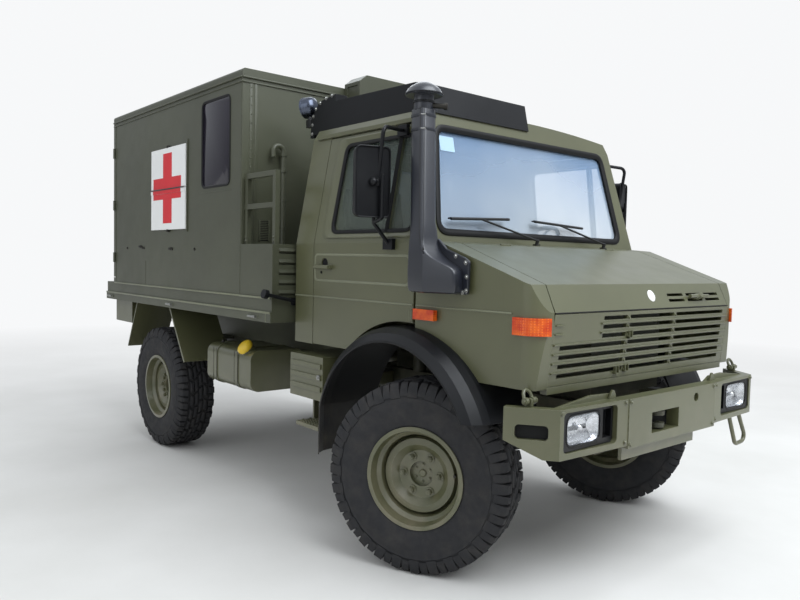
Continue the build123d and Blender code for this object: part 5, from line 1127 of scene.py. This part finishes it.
ribs = build(meshes=[turned(CAP_RIB, 64, True), turned(NECK_RIB, 64, True)])
piece("cap_ribs", laid(ribs, Matrix.Translation(at(-20, -942, 2527))), "black_plastic", 50)
SHROUD_BOLTS = [
    (-1253, 2480), (-1252, 2540), (-1240, 2595), (-1210, 2640), (-1160, 2672), (-1095, 2692), (-1030, 2700),
]
side_bolts = bolts([at(x, -830, z) for x, z in SHROUD_BOLTS], (0, -1, 0), 8, 7)
top_bolts = bolts([at(x, -560, 2652) for x in (-330, -640)], UP, 8, 7)
piece("shroud_bolts", build(meshes=[side_bolts, top_bolts]), "zinc", 40)

# %% [markdown]
# The nose: bolts on the bumper's seams, a shackle on each end, small brackets on its top edge, the
# bonnet's catch between its vents, a blank white disc on the bonnet's lip, and hooks on the grille.

# %% Bumper, bonnet and grille fittings
SHACKLE_X, SHACKLE_Y, PIN_Z = 785, 985, 1026
BOW = [(-24, 0), (-27, 16), (-24, 32), (-14, 44), (0, 48), (14, 44), (24, 32), (27, 16), (24, 0)]
BOW_LEAN = -0.45
SHACKLE_RODS = [
    # start and end across the shackle, radius, sides
    (-32, -16, 17, 20), (16, 32, 17, 20), (-40, 44, 9.5, 16), (38, 48, 15, 6),
]
EAR = [(468, 1001), (526, 1001), (510, 1036), (500, 1046), (488, 1044), (476, 1024)]
rods, blocks, parts = [], [], []
for _, side in SIDES:
    middle = side * SHACKLE_Y
    blocks.append(((SHACKLE_X - 22, middle - 8, 1000), (SHACKLE_X + 22, middle + 8, 1040), 5))
    for start, end, *sizes in SHACKLE_RODS:
        rods.append(((SHACKLE_X, middle + start, PIN_Z), (SHACKLE_X, middle + end, PIN_Z), *sizes))
    bow = [at(SHACKLE_X + BOW_LEAN * rise, middle + y, PIN_Z + rise) for y, rise in BOW]
    parts.append(strip(bow, 16, 16, 7.9, "olive_paint"))
    parts.append(skin([[at(x, side * y, z) for y, z in EAR] for x in (893, 903)]))
piece("bumper_fittings", build(rods, blocks, parts), "olive_paint")
SEAM_BOLTS = [(950, 455, 985), (950, 455, 792), (929, 925, 985), (955, 415, 775), (955, 415, 985)]
spots = [at(x, side * y, z) for x, y, z in SEAM_BOLTS for _, side in SIDES]
piece("bumper_bolts", bolts(spots, (1, 0, 0), 9, 6), "olive_paint", 40)
# Painted shade: near-black plates at the backs of the towing hole, the round hole and the pockets
# in the bumper's slanted ends
SLANT_FRONT, SLANT_REAR = (928, 939), (722, 1085)
POCKET_X, POCKET_Y, POCKET_Z = 812.284, 994.048, 893
POCKET_TURN = math.atan2(SLANT_REAR[1] - SLANT_FRONT[1], SLANT_REAR[0] - SLANT_FRONT[0])
pocket = build(blocks=[((-73, -1, -32), (73, 1, 32))], place=mm)
parts = []
for _, side in SIDES:
    turn = Matrix.Rotation(side * POCKET_TURN, 4, "Z")
    parts.append(laid(pocket, Matrix.Translation(at(POCKET_X, side * POCKET_Y, POCKET_Z)) @ turn))
mesh = build([((925, 218, 944), (927, 218, 944), 23.9, 32)], [((884, -224, 807), (886, 37, 911))], parts)
piece("bumper_dark", mesh, "void")
# Three corners down the nose, each ahead of the axle and up: bonnet, grille's head, grille's foot
NOSE_X, NOSE_Z = 746, 1551
HEAD_X, HEAD_Z = 809, 1414
FOOT_X, FOOT_Z = 775, 1073
NOSE_LEAN = math.atan2(HEAD_X - NOSE_X, NOSE_Z - HEAD_Z)
GRILLE_SLOPE = (HEAD_X - FOOT_X) / (HEAD_Z - FOOT_Z)


def on_lip(across, up, out):
    """Point on the bonnet's sloping front, by distance to the left, height and distance out."""
    x = HEAD_X - (up - HEAD_Z) * math.tan(NOSE_LEAN) + out * math.cos(NOSE_LEAN)
    return at(x, across, up + out * math.sin(NOSE_LEAN))


DISC = [(0, 4), (30, 4), (33, 2), (33, -1), (0, -1)]
disc_place = along(on_lip(25, 1487, 0), on_lip(0, 1487, 100) - on_lip(0, 1487, 0))
piece("bonnet_disc", laid(turned(DISC), disc_place), "white_paint", 40, "bonnet")
CATCH = [
    ((400, 1474, 20), (610, 1474, 20), 11, 14, 8), ((470, 1474, -2), (470, 1474, 26), 14, 14),
    ((540, 1474, -2), (540, 1474, 26), 14, 14), ((505, 1474, 0), (505, 1474, 34), 20, 18, 14),
]
piece("bonnet_catch", build(CATCH, place=on_lip), "olive_paint", 40, "bonnet")
mesh = strip([on_lip(-840, 1419, 1), on_lip(840, 1419, 1)], 6, 6, 2.7, "seal_rubber")
piece("bonnet_edge", mesh, "seal_rubber", body="bonnet")
GRILLE_HOOKS = [(-300, 1112), (-215, 1117), (-214, 1293)]
HOOK_BLOCKS = [(-15, 15, -20, -14), (-15, -11, -20, 20), (11, 15, -20, 20)]
GRILLE_BLOCKS = [
    # distance to the left and height; sides, foot and top measured from there; depth and bevel
    *((y, z, *block, 17, 1) for y, z in GRILLE_HOOKS for block in HOOK_BLOCKS),
    *((-834, z, 0, 59, 0, 7, 8, 2) for z in (1358, 1316)),
]
blocks = []
for y, z, start, end, foot, top, depth, bevel in GRILLE_BLOCKS:
    face = FOOT_X + (z - FOOT_Z) * GRILLE_SLOPE
    blocks.append(((face - 2, y + start, z + foot), (face + depth, y + end, z + top), bevel))
piece("grille_hooks", build(blocks=blocks), "olive_paint", 40)

# %% [markdown]
# Wiper blades, a pale blue sticker with nothing written on it, and the rear lamps, whose lenses are
# red, amber and clear plates over one dark housing.

# %% Wipers, sticker and rear lamps
BLADES = [(-785, -310, 1881, 1901), (-74, 400, 1901, 1881)]
rods = []
for start, end, low, high in BLADES:
    for out, radius in ((12, 4.5), (26, 3.5)):
        rods.append(((start, low, out), (end, high, out), radius, 8))
    for share in (0.04, 0.35, 0.65, 0.96):
        spot = (start + (end - start) * share, low + (high - low) * share)
        rods.append(((*spot, 12), (*spot, 26), 3, 8))
piece("wiper_blades", build(rods, place=screen_at), "seal_rubber", 40)
STICKER = rectangle((-752, -640), (2268, 2352))
piece("screen_sticker", lofted(STICKER, 6, [(0, -13.6), (0, -13.1)], screen_at), "sticker")
REAR_LAMP_X, REAR_LAMP_Z = -4347, (1246, 1334)
LENSES = [
    # finish, low and high ends across the lamp
    ("red_lens", 990, 1074), ("amber", 900, 986), ("lamp_glass", 806, 896),
]
for label, side in SIDES:
    for finish, *ends in LENSES:
        outline = rectangle(sorted(side * end for end in ends), REAR_LAMP_Z)
        mesh = lofted(outline, 10, [(0, -2), (0, 10), (-6, 15)], facing(REAR_LAMP_X, -1))
        piece(f"rear_{finish}_{label}", mesh, finish, 40)

# %% [markdown]
# Inside the cab, seen through the glass: crowned seat pads with a seam, a round-rimmed steering
# wheel, a dashboard with a hood and dials, and the seat boxes. Each pad is a finely divided block,
# pulled in at its edges and swollen in the middle, so it looks sat on rather than sawn.

# %% Cab interior
PAD_STEPS = 14
SEAT_Y = 480
EDGE_PINCH = 0.06
EDGE_THICKNESS = 0.72
UNDERSIDE_SWELL = 0.3
SEAM_AT, SEAM_SPREAD, SEAM_DEPTH_M = 0.62, 0.05, 0.006
TOP_FROM = 0.99
PADS = [
    # piece, half sizes, swell, ahead of the axle, height, lean
    ("seat_cushion", (0.245, 0.240, 0.050), 0.030, -790, 1452, 0),
    ("seat_back", (0.305, 0.235, 0.048), 0.026, -990, 1810, math.radians(-99)),
]


def pad(size, crown):
    """Crowned closed pad from its half sizes and the swell of its faces, in metres."""
    form = bmesh.new()
    bmesh.ops.create_cube(form, size=2)
    bmesh.ops.subdivide_edges(form, edges=form.edges[:], cuts=PAD_STEPS, use_grid_fill=True)
    for vert in form.verts:
        x, y, z = vert.co
        across = (1 - abs(x) ** 4) * (1 - abs(y) ** 4)
        pull = 1 - EDGE_PINCH * abs(z) ** 6
        lift = crown * across * (1 if z > 0 else UNDERSIDE_SWELL) * abs(z)
        seam = SEAM_DEPTH_M * math.exp(-((abs(y) - SEAM_AT) / SEAM_SPREAD) ** 2) if z > TOP_FROM else 0
        rise = z * size[2] * (EDGE_THICKNESS + (1 - EDGE_THICKNESS) * across) + lift - seam
        vert.co = Vector((x * size[0] * pull, y * size[1] * pull, rise))
    return as_mesh(form)


for label, side in SIDES:
    for name, size, crown, x, z, lean in PADS:
        mesh = pad(size, crown)
        mesh.transform(Matrix.Translation(at(x, side * SEAT_Y, z)) @ Matrix.Rotation(lean, 4, "Y"))
        replaced = ["cab_interior"] if name == "seat_cushion" and side < 0 else ()
        piece(f"{name}_{label}", mesh, "seat_vinyl", 60, replaces=replaced)
    base = ((-1038, side * SEAT_Y - 228, 1151), (-682, side * SEAT_Y + 228, 1395), 12)
    piece(f"seat_base_{label}", build(blocks=[base]), "black_paint")

DASH = [(-300, 1560), (-44, 1540), (-44, 1736), (-120, 1742), (-215, 1738), (-262, 1712), (-290, 1650)]
DASH_EDGE_M = 0.008
form = bmesh.new()
form.from_mesh(skin([[at(x, y, z) for x, z in DASH] for y in (-940, 940)]))
bmesh.ops.bevel(form, geom=form.edges[:], offset=DASH_EDGE_M, segments=2, affect="EDGES")
hood = ((-330, 300, 1690), (-250, 660, 1760), 20)
piece("dashboard", build(blocks=[hood], meshes=[as_mesh(form)]), "black_plastic", 50)

STEERING_R, GRIP_R = 205, 14.5
COLUMN = [((0, 0, -14), (0, 0, 30), 44, 24, 30), ((0, 0, 20), (0, 0, 270), 26, 20, 34)]
spokes = [
    ((*start[:2], 12), end, 10, 12, 8)
    for start, end in zip(circle(3, 30, 0, math.pi / 2), circle(3, 200, 0, math.pi / 2))
]
grip = turned([(STEERING_R + x, y) for x, y, _ in circle(12, GRIP_R)], 64, True)
mesh = build(COLUMN + spokes, meshes=[grip], place=mm)
piece("steering_wheel", laid(mesh, along(at(-430, 480, 1770), Vector((0.62, 0, -0.78)))), "black_plastic", 50)
rods = [((-331, y, 1724), (-334, y, 1724), 30, 24) for y in (400, 480, 560)]
rods.append(((-560, 60, 1360), (-620, 60, 1640), 10, 12))
mesh = build(rods, meshes=[ball(at(-622, 60, 1650), 22, 16, 10)])
piece("dials_and_lever", mesh, "black_paint", 50)

# %% [markdown]
# Last come the pipe clips by the guard frame, and the bolts that hold the frame.

# %% Guard frame fixings
PIPE_X, PIPE_Y = -1585, -850
CLIP_Z = (1860, 2060, 2260, 2370)
GUARD_Y = 1129
clip = turned([(16.5, -10), (23, -10), (23, 10), (16.5, 10)], 24, True)
clips = [laid(clip, Matrix.Translation(at(PIPE_X, PIPE_Y, z))) for z in CLIP_Z]
feet = [((-1628, PIPE_Y - 8, z - 9), (PIPE_X - 18, PIPE_Y + 8, z + 9), 2) for z in CLIP_Z]
piece("pipe_clips", build(blocks=feet, meshes=clips), "box_paint", 50)
guard_bolts = [
    bolts([at(x, side * GUARD_Y, z) for x in (-1600, -1232) for z in (1760, 1784)], (0, side, 0), 8, 6)
    for _, side in SIDES
]
piece("guard_bolts", build(meshes=guard_bolts), "box_paint", 50)

# %% [markdown]
# The floor is one large pale sheet that fades into the paper-white background, so that no edge shows.
# The world is brighter overhead than at the horizon, as a sky is. Three broad area lamps stand in
# for an overcast sky: one above and ahead, and weaker ones from the truck's right and from behind.

# %% Floor and light
FLOOR_M = 60
FADE_FROM_M, FADE_TO_M = 3.5, 13.0
PAPER = (0.93, 0.94, 0.95, 1)
SKY = (0.86, 0.90, 0.95, 1)
LAMP_COLOUR = (0.90, 0.95, 1.0)
LAMPS = [
    # name, place, target, size, power
    ("sky_lamp", (6.5, 0.5, 9.0), (0.5, 0, 1.2), 8.0, 1050),
    ("side_lamp", (1.0, -9.0, 4.5), (0, 0, 1.2), 6.0, 110),
    ("far_lamp", (-6.0, 6.0, 7.0), (0, 0, 1.2), 7.0, 260),
]
shade = Shade("floor", linear(214, 212, 208), 0.8)
tone = shade.span(shade.noise(0.6, 6), 0.3, 0.7)
shade.colour(shade.mix(tone, linear(205, 203, 198), linear(220, 218, 214)))
shade.bump(shade.noise(40, 4), 0.002, 0.2)
far = shade.add("ShaderNodeVectorMath", {0: shade.place}, operation="LENGTH").outputs["Value"]
seen = shade.add("ShaderNodeLightPath").outputs["Is Camera Ray"]
blend = shade.add("ShaderNodeMixShader", {
    0: shade.math("MULTIPLY", shade.span(far, FADE_FROM_M, FADE_TO_M), seen), 1: shade.shader.outputs[0],
    2: shade.add("ShaderNodeEmission", {"Color": PAPER, "Strength": 1.0}).outputs[0],
})
shade.feed(shade.tree.nodes["Material Output"].inputs[0], blend.outputs[0])
floor_mesh = bpy.data.meshes.new("floor")
corners = [(*corner, 0) for corner in rectangle((-FLOOR_M, FLOOR_M), (-FLOOR_M, FLOOR_M))]
floor_mesh.from_pydata(corners, [], [(0, 1, 2, 3)])
floor_mesh.materials.append(shade.material)
placed("floor", floor_mesh)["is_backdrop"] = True

world = bpy.data.worlds.new("world")
world.use_nodes = True
scene.world = world
sky = Nodes(world.node_tree)
rays = sky.add("ShaderNodeLightPath").outputs
heading = sky.add("ShaderNodeTexCoord").outputs["Generated"]
rise = sky.add("ShaderNodeSeparateXYZ", {"Vector": heading}).outputs["Z"]
background = sky.tree.nodes["Background"]
sky.feed(background.inputs["Color"], SKY)
sky.feed(background.inputs["Strength"], sky.span(rise, 0.0, 0.6, 0.30, 0.95))
choose = sky.add("ShaderNodeMixShader", {
    0: sky.math("MAXIMUM", rays["Is Camera Ray"], rays["Is Transmission Ray"]), 1: background.outputs[0],
    2: sky.add("ShaderNodeBackground", {"Color": PAPER, "Strength": 1.0}).outputs[0],
})
sky.feed(sky.tree.nodes["World Output"].inputs[0], choose.outputs[0])

for name, place, target, size, power in LAMPS:
    data = bpy.data.lights.new(name, "AREA")
    data.size = size
    data.energy = power
    data.color = LAMP_COLOUR
    lamp = placed(name, data)
    lamp.location = place
    lamp.rotation_mode = "QUATERNION"
    lamp.rotation_quaternion = (Vector(target) - Vector(place)).to_track_quat("-Z", "Y")

# %% Bounds of what is drawn
low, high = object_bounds()
